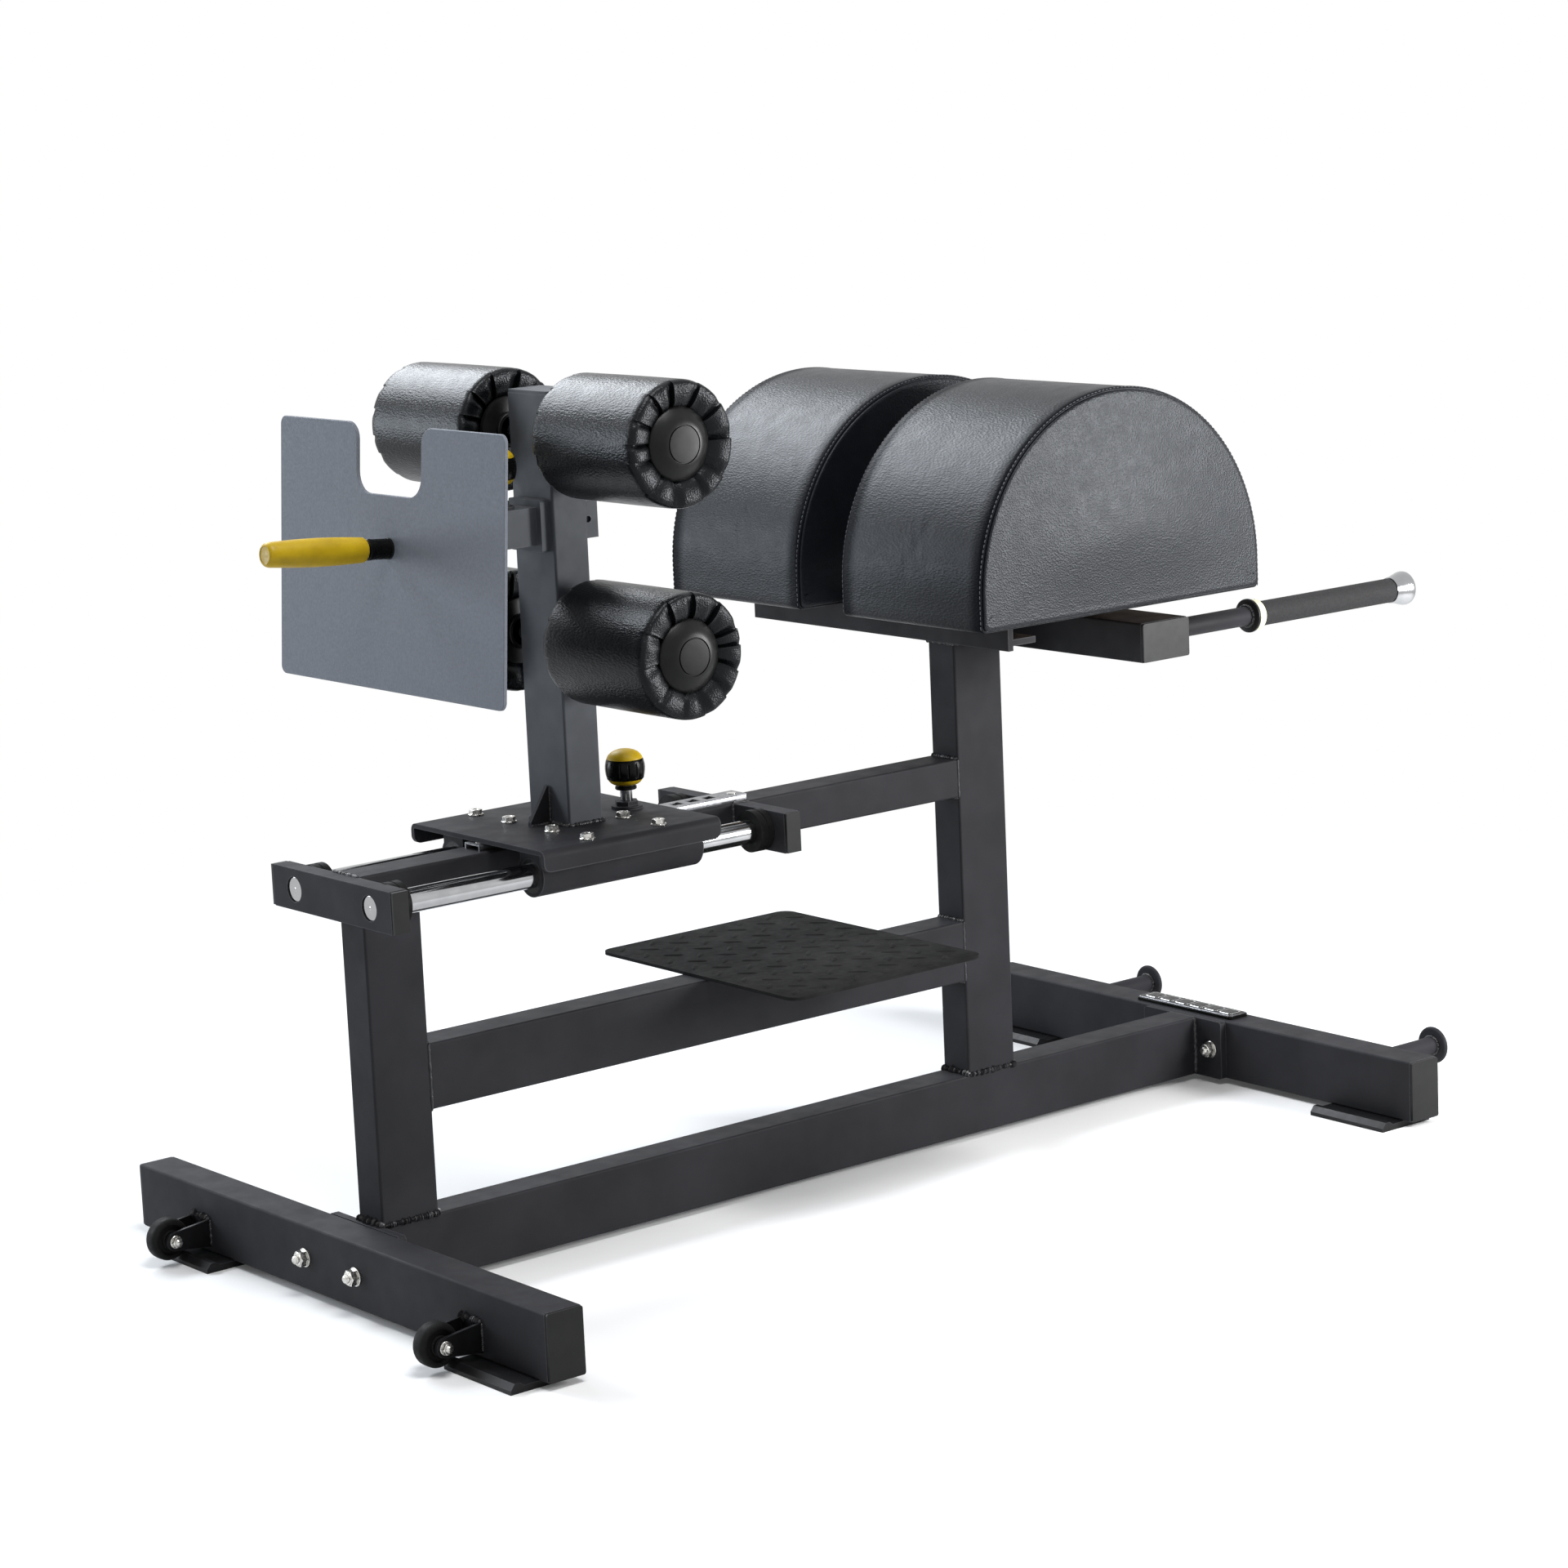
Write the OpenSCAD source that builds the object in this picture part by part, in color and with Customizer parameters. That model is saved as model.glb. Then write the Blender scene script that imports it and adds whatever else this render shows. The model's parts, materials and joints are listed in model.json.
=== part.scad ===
// Glute ham developer: base frame, sliding roller carriage, tilting foot plate and two thigh pads.
// Millimetres, +Z up, X along the machine, Y across it. The origin is the centre of the footprint on the floor.
// Every shape is drawn in machine coordinates (X from the front face of the front bar, Z from the underside of
// the base bars) and moved to the origin by placed().

/* [Base frame] */
// length from the front bar's front face to the rear bar's back face
base_length = 1453; // [1380:1:1520]
// length of the front base bar across the machine
front_bar_length = 866; // [780:1:940]
// length of the rear base bar across the machine
rear_bar_length = 820; // [740:1:900]
// tall side of the 80 x 50 tube
tube_tall = 80; // [70:1:90]
// flat side of the 80 x 50 tube
tube_flat = 50; // [46:1:56]
// wall of the 80 x 50 tube
tube_wall = 3; // [2:0.5:4]
// outside corner radius of the frame tubes
tube_round = 3; // [2:0.5:5]
// thickness of the welded end caps
cap_t = 4; // [2:0.5:6]
// how far an end cap stands in from the tube's outline
cap_inset = 0.6; // [0.3:0.1:1.2]
// thickness of the bolting flange at each end of the base beam
flange_t = 10; // [8:1:14]
// width of the bolting flanges across the machine
flange_w = 148; // [138:1:170]
// distance of each base bolt from the centre line
base_bolt_y = 54; // [48:1:62]
// shank diameter of the base bolts
base_bolt_d = 10; // [8:1:12]
// how much wider than its bolt each bolt hole is
hole_gap = 0.6; // [0.4:0.1:1]
// how far the base bolts stand out past their nuts
base_stud = 6; // [3:1:10]
// underside of the low beam between the uprights
mid_beam_z = 206; // [190:1:230]
// underside of the upper beam and the top of the front upright
rail_z = 450; // [430:1:470]
// side of the square upper beam
rail_beam = 50; // [46:1:54]
// front face of the main upright
main_upright_x = 981; // [960:1:1010]
// top of the main upright
main_upright_top = 651; // [620:1:680]

/* [Feet, wheels and pegs] */
// thickness of the feet under the base bars
foot_t = 8; // [6:1:10]
// how far the feet reach out in front of their bar
foot_reach = 38; // [30:1:42]
// height of the raised lip along the front edge of a foot, above the foot's top
foot_lip = 4; // [2:0.5:5]
// length of a foot across the machine
foot_l = 128; // [100:1:150]
// distance from the front bar's right end to its right foot
front_foot_in = 21; // [10:1:30]
// distance from the front bar's left end to its left foot, which stands inside the wheel
front_left_foot_in = 86; // [70:1:110]
// distance from a rear bar's end to its foot
rear_foot_in = 17; // [10:1:30]
// distance from a front bar's end to the middle of its wheel
wheel_in = 145; // [133:1:163]
// wheel diameter
wheel_d = 52; // [48:1:56]
// wheel width
wheel_w = 22; // [18:1:24]
// distance of the wheel axle in front of the front bar
wheel_x = 50; // [48:1:56]
// height of the wheel axle above the underside of the base bars
wheel_z = 25; // [22:1:30]
// wheel axle diameter
axle_d = 8; // [6:1:10]
// running clearance on the radius of everything that turns on a shaft
run_gap = 0.06; // [0.03:0.01:0.1]
// inside width of the wheel fork
fork_gap = 32; // [28:1:36]
// thickness of the fork plate
fork_t = 4; // [3:0.5:5]
// height of the fork where it is welded to the bar
fork_h = 35; // [28:1:40]
// distance of the band pegs from the centre line
peg_y = 272.5; // [240:0.5:300]
// height of the band pegs above the underside of the base bars
peg_z = 44; // [34:1:50]
// band peg diameter
peg_d = 24; // [20:1:30]
// how far the pegs reach behind the rear bar
peg_l = 146; // [110:1:170]
// diameter of the disc at the end of a peg
peg_disc_d = 50; // [40:1:60]
// thickness of the disc at the end of a peg
peg_disc_t = 7; // [5:1:10]

/* [Guide rails] */
// thickness of the bars that hold the guide rods
rail_bar_t = 22.5; // [18:0.5:28]
// length of the rod bars across the machine
rail_bar_l = 256; // [230:1:280]
// front face of the front rod bar
rail_bar_x = 34; // [26:1:44]
// front face of the rear rod bar
rear_rail_x = 610.5; // [600:0.5:640]
// guide rod diameter
rod_d = 30; // [25:1:34]
// distance of the guide rods from the centre line
rod_y = 79; // [74:1:84]
// how far the rod ends stand back inside the front rod bar
rod_recess = 2; // [1:0.5:4]
// gap left around everything that is pushed into a bore
seat_gap = 0.15; // [0.1:0.05:0.25]
// outer diameter of the rubber stop rings on the rods
stop_d = 52; // [44:1:56]
// thickness of the rubber stop rings
stop_t = 20; // [14:1:22]
// width of the index strip
strip_w = 30; // [26:1:34]
// height of the index strip above the upper beam
strip_h = 7.5; // [6:0.5:10]
// sheet thickness of the index strip
strip_t = 2; // [1.5:0.5:3]
// front end of the index strip
strip_x = 235; // [228:1:242]
// length of the index strip
strip_l = 405; // [395:1:420]
// spacing of the index holes, in the strip and in the foot plate arm
pitch = 25; // [25:1:25]
// side of the square holes in the strip
strip_hole = 15; // [14:0.5:16]
// diameter of the screws that hold the strip
strip_screw_d = 6; // [4:0.5:6]
// distance of the strip's screws from its ends
strip_screw_in = 12; // [10:1:14]

/* [Step] */
// front edge of the step plate
step_x = 556; // [530:1:580]
// length of the step plate along the machine
step_l = 308; // [280:1:340]
// width of the step plate across the machine
step_w = 392; // [340:1:430]
// thickness of the step plate
step_t = 4; // [3:0.5:6]
// corner radius of the step plate
step_r = 18; // [10:1:30]
// how far the step's support arms reach from the centre line
step_arm_reach = 150; // [110:1:165]
// height of the step's support arms
step_arm_h = 33; // [24:1:45]
// thickness of the step's support arms
step_arm_t = 7; // [5:1:12]

/* [Carriage] */
// front edge of the carriage plate
plate_x = 241; // [236:1:246]
// length of the carriage plate along the machine
plate_l = 262; // [258:1:268]
// width of the carriage plate across the machine
plate_w = 274; // [266:1:290]
// thickness of the carriage plate
plate_t = 6; // [5:0.5:8]
// height of the carriage plate's turned-down sides
plate_side = 25.5; // [18:0.5:30]
// outside bend radius of the carriage plate
plate_bend = 9; // [8.5:0.5:12]
// corner radius of the turned-down sides
plate_corner = 10; // [6:1:12]
// clearance between the index strip and the carriage plate
plate_gap = 1; // [0.8:0.1:1.5]
// how far behind the plate's front edge the bearing housings start
housing_in = 21; // [16:1:26]
// length of the bearing housings
housing_l = 238; // [230:1:242]
// outer diameter of the bearing housings
housing_d = 52; // [50:1:56]
// outer diameter of the plain bushes
bush_d = 40; // [36:1:42]
// length of each plain bush
bush_l = 60; // [40:1:70]
// width of the flat flange on top of each housing
housing_flange_w = 92; // [90:1:98]
// thickness of that flange
housing_flange_t = 7.5; // [6:0.5:9]
// distance from the front edge of the plate to the first row of bolts
bolt_row_1 = 80; // [70:1:86]
// distance between the two rows of bolts
bolt_rows = 106; // [90:1:110]
// distance of each bolt from its rod, measured across
bolt_side = 35; // [34.5:0.5:37]
// shank diameter of the carriage bolts
carriage_bolt_d = 8; // [6:1:8]
// front face of the roller post
post_x = 350; // [342:1:356]
// length of the gusset's foot in front of the post
gusset_l = 30; // [22:1:40]
// height of the gusset
gusset_h = 45.5; // [35:0.5:60]
// thickness of the gusset
gusset_t = 6; // [4:1:8]

/* [Pop pins] */
// position of the carriage pin along the machine
carriage_pin_x = 466; // [464:1:468]
// position of the arm pin along the machine
arm_pin_x = 300; // [296:1:304]
// knob diameter
knob_d = 49; // [44:1:54]
// height of the knob's centre above its base
knob_z = 49.5; // [46:0.5:56]
// diameter of the neck under the knob
neck_d = 26.5; // [24:0.5:30]
// height of the neck's lower end above the pin's base
neck_z = 18; // [17:0.5:22]
// diameter of the bright shaft
shaft_d = 14.7; // [13:0.1:16]
// diameter of the pin's tip
tip_d = 12; // [10:0.5:13]
// height of the shaft's shoulder above the base, where the tip begins
shoulder_z = 4; // [3.9:0.1:6]
// depth of the shaft inside the knob's neck
knob_grip = 14; // [8:1:18]
// clearance on the radius around the shaft
pin_gap = 0.3; // [0.3:0.1:0.5]
// how far the tip stands clear of the piece that it locks when parked
tip_clear = 0.7; // [0.5:0.1:1.2]
// diameter of the fixed base of a pin
pin_base_d = 38; // [32:1:42]
// height of the fixed base of a pin
pin_base_h = 9.5; // [8:0.5:11]

/* [Foot plate] */
// height of the arm's centre above the underside of the base bars
arm_z = 875.5; // [860:0.5:885]
// side of the outer square tube
sleeve_w = 45; // [43:1:50]
// wall of the outer square tube
sleeve_wall = 3; // [2.5:0.5:3]
// clearance on each side between the outer and the sliding tube
slide_gap = 0.5; // [0.4:0.1:0.8]
// wall of the sliding tube
arm_wall = 3; // [2:0.5:4]
// how far the outer tube reaches in front of the post
sleeve_front = 88; // [82:1:92]
// how far the outer tube reaches behind the post
sleeve_back = 28; // [15:1:40]
// how far the sliding tube's rear end stands at rest behind the post's front face
arm_back = 76; // [45:1:80]
// width of the collar around the outer tube
collar_w = 64; // [56:1:72]
// height of the collar around the outer tube
collar_h = 62; // [56:1:70]
// thickness of the collar
collar_t = 12; // [8:1:16]
// front face of the foot plate at its lower edge
plate_foot_x = 130.4; // [120:0.1:140]
// how far the foot plate's lower edge is below the middle of its arm
plate_foot_drop = 170.5; // [156:0.5:186]
// tilt of the foot plate away from upright, in degrees
plate_tilt = 4.2; // [2:0.1:6]
// length of the foot plate along its slope
plate_foot_h = 309; // [290:1:330]
// width of the foot plate
plate_foot_w = 461; // [420:1:500]
// thickness of the foot plate
plate_foot_t = 5; // [4:0.5:8]
// corner radius of the foot plate
plate_foot_r = 10; // [6:1:16]
// half the width of the notch
notch_half = 66; // [56:1:74]
// distance from the plate's lower edge to the notch, along the slope
notch_floor = 227.6; // [215:0.1:240]
// radius of the notch's lower corners
notch_r = 25; // [18:1:30]
// radius of the notch's rounded mouth
mouth_r = 20; // [12:1:26]
// distance of the grip's axis from the plate's lower edge, along the slope
grip_up = 166; // [150:1:176]
// grip diameter
grip_d = 33; // [28:1:38]
// length of the grip
grip_l = 135; // [110:1:150]
// diameter of the collar between grip and plate
grip_neck_d = 25; // [20:1:28]
// length of that collar
grip_neck_l = 34; // [20:1:44]
// diameter of the grip's bolt
grip_bolt_d = 10; // [8:1:12]
// how far the grip's bolt reaches into the grip
grip_bolt_in = 40; // [20:1:60]

/* [Rollers] */
// distance of the roller shafts behind the post's front face
shaft_x = 25; // [22:1:28]
// height of the upper shaft above the centre of the foot plate's arm
upper_shaft_up = 106.2; // [100:0.1:115]
// how far the lower shaft is below the centre of the foot plate's arm
lower_shaft_drop = 137.6; // [125:0.1:150]
// how far the post stands above the upper shaft
post_over = 52.3; // [30:0.1:80]
// diameter of the roller shafts
roller_shaft_d = 25; // [20:1:30]
// how far the rollers start from the centre line
roller_in = 66; // [60:1:76]
// how far the rollers end from the centre line
roller_out = 268; // [250:1:290]
// roller diameter
roller_d = 148; // [130:1:160]
// diameter of the hub tube inside a roller
hub_d = 34; // [33:1:38]
// diameter of the domed cap at each end of a roller
cap_d = 86; // [70:1:96]
// how far the domed caps stand out
cap_dome = 9; // [6:0.5:12]
// number of pleats around each end of a roller
pleats = 12; // [8:1:14]
// how deep the pleats are
pleat_depth = 5; // [2:0.5:7]

/* [Thigh pads] */
// height of the cross tube on top of the main upright
cross_tube_h = 38; // [30:1:45]
// length of the cross tube across the machine
cross_tube_l = 100; // [80:1:150]
// height of the rails under the pads
pad_rail_h = 24; // [18:1:30]
// width of the rails under the pads
pad_rail_w = 50; // [40:1:54]
// distance of the rails from the centre line
pad_rail_y = 112; // [108:1:113]
// front face of the front angle iron
angle_x = 875; // [860:1:890]
// length of the front angle iron across the machine
angle_l = 494; // [440:1:520]
// thickness of the front angle iron
angle_t = 8; // [6:1:9]
// how far the front angle iron's face hangs below its shelf
angle_drop = 6; // [0:0.5:12]
// width of the angle iron's lower flange
angle_w = 45; // [36:1:50]
// radius of the pads
pad_r = 235; // [215:1:250]
// position of the pads' centre along the machine
pad_x = 1019; // [1005:1:1033]
// height of the straight lower side of the pads
pad_side_h = 39; // [25:1:50]
// inner end of each pad, from the centre line
pad_in = 41; // [34:1:50]
// outer end of each pad, from the centre line
pad_out = 304; // [280:1:320]
// radius of the pads' end edges
pad_edge = 7; // [4:0.5:14]
// how much the middle of a pad bulges
pad_crown = 2; // [0:0.5:5]
// thickness of the board in each pad
board_t = 15; // [12:1:20]
// how far the board stands inside the pad's outline
board_in = 7; // [5:1:12]
// diameter of the bolts that hold the pads
pad_bolt_d = 8; // [6:1:10]
// how far the pad bolts reach into the boards
pad_bolt_grip = 12; // [6:1:12]

/* [Handles] */
// length of the handle beam across the machine
handle_beam_l = 580; // [560:1:640]
// height of the handle beam
handle_beam_h = 50; // [44:1:56]
// distance of the handles from the centre line
handle_y = 235; // [220:1:245]
// diameter of the handle tubes
handle_d = 25; // [22:1:28]
// bare length of the handle tubes, up to the ring
handle_bare = 158; // [140:1:180]
// diameter of the ring in front of a grip
ring_d = 44; // [38:1:48]
// thickness of that ring
ring_t = 5; // [3:0.5:8]
// thickness of the coloured ring behind it
trim_t = 6; // [3:0.5:8]
// diameter of the handle grips
handle_grip_d = 32; // [30:1:36]
// length of the handle grips
handle_grip_l = 255; // [220:1:280]
// largest diameter of the bright handle end
end_d = 45; // [38:1:48]
// length of the bright handle end
end_l = 29; // [22:1:36]

/* [Hidden] */
$fn = 48;
front_foot_end = front_bar_length / 2 - front_foot_in;
front_left_foot_end = front_bar_length / 2 - front_left_foot_in;
wheel_y = front_bar_length / 2 - wheel_in;
rear_foot_end = rear_bar_length / 2 - rear_foot_in;
rear_bar_x = base_length - tube_flat;
beam_x = tube_flat + flange_t;
beam_l = rear_bar_x - flange_t - beam_x;
front_upright_back = beam_x + tube_tall;
front_x = -wheel_x - wheel_d / 2;
back_x = base_length + peg_l;
mid_x = (front_x + back_x) / 2;
rail_top = rail_z + rail_beam;
rod_z = rail_z + rail_beam / 2;
rail_bar_back = rail_bar_x + rail_bar_t;
rear_rail_back = rear_rail_x + rail_bar_t;
strip_top = rail_top + strip_h;
plate_under = strip_top + plate_gap;
plate_z = plate_under + plate_t;
housing_x = plate_x + housing_in;
bolt_x1 = plate_x + bolt_row_1;
bolt_x2 = bolt_x1 + bolt_rows;
shaft_pos_x = post_x + shaft_x;
sleeve_in = sleeve_w - 2 * sleeve_wall;
arm_w = sleeve_in - 2 * slide_gap;
sleeve_x = post_x - sleeve_front;
sleeve_end = post_x + tube_flat + sleeve_back;
sleeve_top = arm_z + sleeve_w / 2;
arm_top = arm_z + arm_w / 2;
plate_foot_z = arm_z - plate_foot_drop;
upper_shaft_z = arm_z + upper_shaft_up;
lower_shaft_z = arm_z - lower_shaft_drop;
post_top = upper_shaft_z + post_over;
support_top = main_upright_top + cross_tube_h;
pad_base = support_top + pad_rail_h;
pad_z = pad_base + pad_side_h;
upright_back = main_upright_x + tube_tall;
handle_beam_back = upright_back + tube_tall;
handle_z = support_top - handle_beam_h / 2;
handle_ring_x = handle_beam_back + handle_bare;
handle_grip_x = handle_ring_x + ring_t + trim_t;
handle_end_x = handle_grip_x + handle_grip_l;
black = [0.13, 0.13, 0.14];
graphite = [0.3, 0.31, 0.33];
soft_black = [0.09, 0.1, 0.11];
bright = [0.78, 0.79, 0.8];
zinc = [0.62, 0.63, 0.62];
yellow = [0.92, 0.72, 0.05];

// Helpers

module placed() {
    translate([-mid_x, 0, foot_t]) children();
}

// rounded rectangle, centred
module outline(w, h, r) {
    difference() {
        square([w, h], center = true);
        for (sx = [-1, 1])
            for (sy = [-1, 1])
                translate([sx * (w / 2 - r), sy * (h / 2 - r)])
                    difference() {
                        translate([sx * r / 2, sy * r / 2]) square([r, r], center = true);
                        circle(r = r);
                    }
    }
}

module tube_outline(w, h, wall, r) {
    difference() {
        outline(w, h, r);
        square([w - 2 * wall, h - 2 * wall], center = true);
    }
}

// a flat outline drawn as (Y, Z), carried along X
module along_x(x0, len) {
    translate([x0, 0, 0]) rotate([90, 0, 90]) linear_extrude(height = len) children();
}

// a flat outline drawn as (X, Z), carried along Y
module along_y(y0, len) {
    translate([0, y0 + len, 0]) rotate([90, 0, 0]) linear_extrude(height = len) children();
}

module rod_x(x0, len, d) {
    translate([x0, 0, 0]) rotate([0, 90, 0]) cylinder(d = d, h = len);
}

module rod_y_axis(y0, len, d) {
    translate([0, y0, 0]) rotate([-90, 0, 0]) cylinder(d = d, h = len);
}

// hexagon bolt along +X: head, shank, washer and nut, from the head's bearing face
module bolt_x(d, grip, washer_t, stud) {
    head = 0.7 * d;
    nut = 0.8 * d;
    rod_x(0, grip + washer_t + nut + stud, d);
    translate([-head, 0, 0]) rotate([0, 90, 0]) cylinder(d = 1.9 * d, h = head, $fn = 6);
    translate([grip, 0, 0]) rotate([0, 90, 0]) cylinder(d = 2.3 * d, h = washer_t);
    translate([grip + washer_t, 0, 0]) rotate([0, 90, 0]) cylinder(d = 1.9 * d, h = nut, $fn = 6);
}

// Base frame

module base_bar_tube(x0, len) {
    difference() {
        along_y(-len / 2 + cap_t, len - 2 * cap_t)
            translate([x0 + tube_flat / 2, tube_tall / 2])
                tube_outline(tube_flat, tube_tall, tube_wall, tube_round);
        for (s = [-1, 1])
            translate([0, s * base_bolt_y, tube_tall / 2])
                rod_x(x0 - 1, tube_flat + 2, base_bolt_d + hole_gap);
    }
}

module front_base_bar() {
    color(black) placed() base_bar_tube(0, front_bar_length);
}

module rear_base_bar() {
    color(black) placed() base_bar_tube(rear_bar_x, rear_bar_length);
}

module base_bar_cap(x0, len, s) {
    along_y(s > 0 ? len / 2 - cap_t : -len / 2, cap_t)
        translate([x0 + tube_flat / 2, tube_tall / 2])
            outline(tube_flat - 2 * cap_inset, tube_tall - 2 * cap_inset, tube_round);
}

module rail_bar_cap(x0, s) {
    translate([x0 + cap_inset, s > 0 ? rail_bar_l / 2 - cap_t : -rail_bar_l / 2, rail_z + cap_inset])
        cube([rail_bar_t - 2 * cap_inset, cap_t, rail_beam - 2 * cap_inset]);
}

module handle_beam_cap(s) {
    along_y(s > 0 ? handle_beam_l / 2 - cap_t : -handle_beam_l / 2, cap_t)
        translate([upright_back + tube_tall / 2, handle_z])
            outline(tube_tall - 2 * cap_inset, handle_beam_h - 2 * cap_inset, tube_round);
}

module cross_tube_cap(s) {
    along_y(s > 0 ? cross_tube_l / 2 - cap_t : -cross_tube_l / 2, cap_t)
        translate([main_upright_x + tube_tall / 2, main_upright_top + cross_tube_h / 2])
            outline(tube_tall - 2 * cap_inset, cross_tube_h - 2 * cap_inset, tube_round);
}

module end_caps() {
    color(graphite) placed() for (s = [-1, 1]) {
        cross_tube_cap(s);
        base_bar_cap(0, front_bar_length, s);
        base_bar_cap(rear_bar_x, rear_bar_length, s);
        rail_bar_cap(rail_bar_x, s);
        rail_bar_cap(rear_rail_x, s);
        handle_beam_cap(s);
    }
}

module base_beam() {
    color(black) placed()
        along_x(beam_x, beam_l)
            translate([0, tube_tall / 2])
                tube_outline(tube_flat, tube_tall, tube_wall, tube_round);
}

module flange(x0) {
    difference() {
        along_x(x0, flange_t)
            translate([0, tube_tall / 2]) outline(flange_w, tube_tall, 5);
        for (s = [-1, 1])
            translate([0, s * base_bolt_y, tube_tall / 2])
                rod_x(x0 - 1, flange_t + 2, base_bolt_d + hole_gap);
    }
}

module base_flanges() {
    color(black) placed() {
        flange(tube_flat);
        flange(rear_bar_x - flange_t);
    }
}

module base_bolts() {
    color(zinc) placed() for (s = [-1, 1]) {
        translate([tube_flat + flange_t, s * base_bolt_y, tube_tall / 2])
            mirror([1, 0, 0]) bolt_x(base_bolt_d, tube_flat + flange_t, 2, base_stud);
        translate([base_length, s * base_bolt_y, tube_tall / 2])
            mirror([1, 0, 0]) bolt_x(base_bolt_d, tube_flat + flange_t, 2, base_stud);
    }
}

// section of a foot, with a raised lip along its front edge
module foot_outline() {
    polygon([
        [-foot_reach, -foot_t], [tube_flat, -foot_t], [tube_flat, 0], [-foot_reach + 19, 0],
        [-foot_reach + 13, foot_lip], [-foot_reach + 6, foot_lip], [-foot_reach, -foot_t + 5]]);
}

module feet() {
    color(soft_black) placed() for (s = [-1, 1]) {
        along_y(s > 0 ? front_left_foot_end - foot_l : -front_foot_end, foot_l) foot_outline();
        translate([rear_bar_x, 0, 0])
            along_y(s > 0 ? rear_foot_end - foot_l : -rear_foot_end, foot_l) foot_outline();
    }
}

// side plate of the wheel fork, drawn as (X, Z) from the bar's face
module fork_side() {
    difference() {
        union() {
            polygon([
                [0, wheel_z - fork_h / 2], [0, wheel_z + fork_h / 2],
                [-wheel_x, wheel_z + fork_h / 3], [-wheel_x, wheel_z - fork_h / 3]]);
            translate([-wheel_x, wheel_z]) circle(d = 2 * fork_h / 3);
        }
        translate([-wheel_x, wheel_z]) circle(d = axle_d + hole_gap);
    }
}

module wheel_forks() {
    color(black) placed() for (s = [-1, 1]) translate([0, s * wheel_y, 0]) {
        along_y(fork_gap / 2, fork_t) fork_side();
        along_y(-fork_gap / 2 - fork_t, fork_t) fork_side();
        translate([-fork_t, -fork_gap / 2 - fork_t, wheel_z - fork_h / 2])
            cube([fork_t, fork_gap + 2 * fork_t, fork_h]);
    }
}

module wheel_axles() {
    half = fork_gap / 2 + fork_t;
    color(zinc) placed() for (s = [-1, 1])
        translate([-wheel_x, s * wheel_y, wheel_z]) {
            rod_y_axis(-half - 9, 2 * half + 9, axle_d);
            rod_y_axis(half, 2, 2 * axle_d);
            translate([0, half + 2, 0]) rotate([-90, 0, 0]) cylinder(d = 1.7 * axle_d, h = 5, $fn = 6);
            rod_y_axis(-half - 1.5, 1.5, 2 * axle_d);
            translate([0, -half - 7, 0]) rotate([-90, 0, 0]) cylinder(d = 1.7 * axle_d, h = 5.5, $fn = 6);
        }
}

module wheel(s) {
    color(soft_black) placed() translate([-wheel_x, s * wheel_y, wheel_z])
        rotate([90, 0, 0]) rotate_extrude() difference() {
            translate([0, -wheel_w / 2]) square([wheel_d / 2, wheel_w]);
            for (m = [-1, 1])
                translate([wheel_d / 2 - wheel_w / 4, m * wheel_w / 4])
                    difference() {
                        translate([0, m > 0 ? 0 : -wheel_w / 4]) square([wheel_w / 4, wheel_w / 4]);
                        circle(r = wheel_w / 4);
                    }
            for (m = [-1, 1])
                translate([10, m > 0 ? wheel_w / 2 - 3 : -wheel_w / 2]) square([wheel_d / 2 - 17, 3]);
            translate([0, -wheel_w / 2 - 1]) square([axle_d / 2 + run_gap, wheel_w + 2]);
        }
}

module wheel_left() wheel(1);

module wheel_right() wheel(-1);

module band_pegs() {
    color(black) placed() for (s = [-1, 1]) translate([base_length, s * peg_y, peg_z]) rotate([0, 90, 0]) {
        difference() {
            cylinder(d = peg_d, h = peg_l - 2);
            translate([0, 0, -1]) cylinder(d = peg_d - 2 * tube_wall, h = peg_l - peg_disc_t);
        }
        translate([0, 0, peg_l - peg_disc_t]) rotate_extrude() {
            square([peg_disc_d / 2 - peg_disc_t / 2, peg_disc_t]);
            translate([peg_disc_d / 2 - peg_disc_t / 2, peg_disc_t / 2]) circle(d = peg_disc_t);
        }
    }
}

// Frame tubes

module front_upright() {
    color(black) placed()
        translate([beam_x + tube_tall / 2, 0, tube_tall]) linear_extrude(height = rail_z - tube_tall)
            tube_outline(tube_tall, tube_flat, tube_wall, tube_round);
}

module main_upright() {
    color(black) placed()
        translate([main_upright_x + tube_tall / 2, 0, tube_tall])
            linear_extrude(height = main_upright_top - tube_tall)
                tube_outline(tube_tall, tube_flat, tube_wall, tube_round);
}

module mid_beam() {
    color(black) placed()
        along_x(front_upright_back, main_upright_x - front_upright_back)
            translate([0, mid_beam_z + tube_tall / 2])
                tube_outline(tube_flat, tube_tall, tube_wall, tube_round);
}

module upper_beam() {
    color(black) placed()
        along_x(rail_bar_back, main_upright_x - rail_bar_back)
            translate([0, rod_z]) tube_outline(rail_beam, rail_beam, tube_wall, tube_round);
}

// Guide rails

module front_rail_bar() {
    color(black) placed() difference() {
        along_x(rail_bar_x, rail_bar_t) translate([0, rod_z])
            outline(rail_bar_l - 2 * cap_t, rail_beam, tube_round);
        for (s = [-1, 1])
            translate([0, s * rod_y, rod_z]) rod_x(rail_bar_x - 1, rail_bar_t + 2, rod_d + 2 * seat_gap);
    }
}

module rear_rail_bar() {
    color(black) placed() for (s = [-1, 1]) difference() {
        translate([rear_rail_x, s > 0 ? rail_beam / 2 : -rail_bar_l / 2 + cap_t, rail_z])
            cube([rail_bar_t, rail_bar_l / 2 - cap_t - rail_beam / 2, rail_beam]);
        translate([0, s * rod_y, rod_z]) rod_x(rear_rail_x - 1, rail_bar_t + 2, rod_d + 2 * seat_gap);
    }
}

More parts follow.
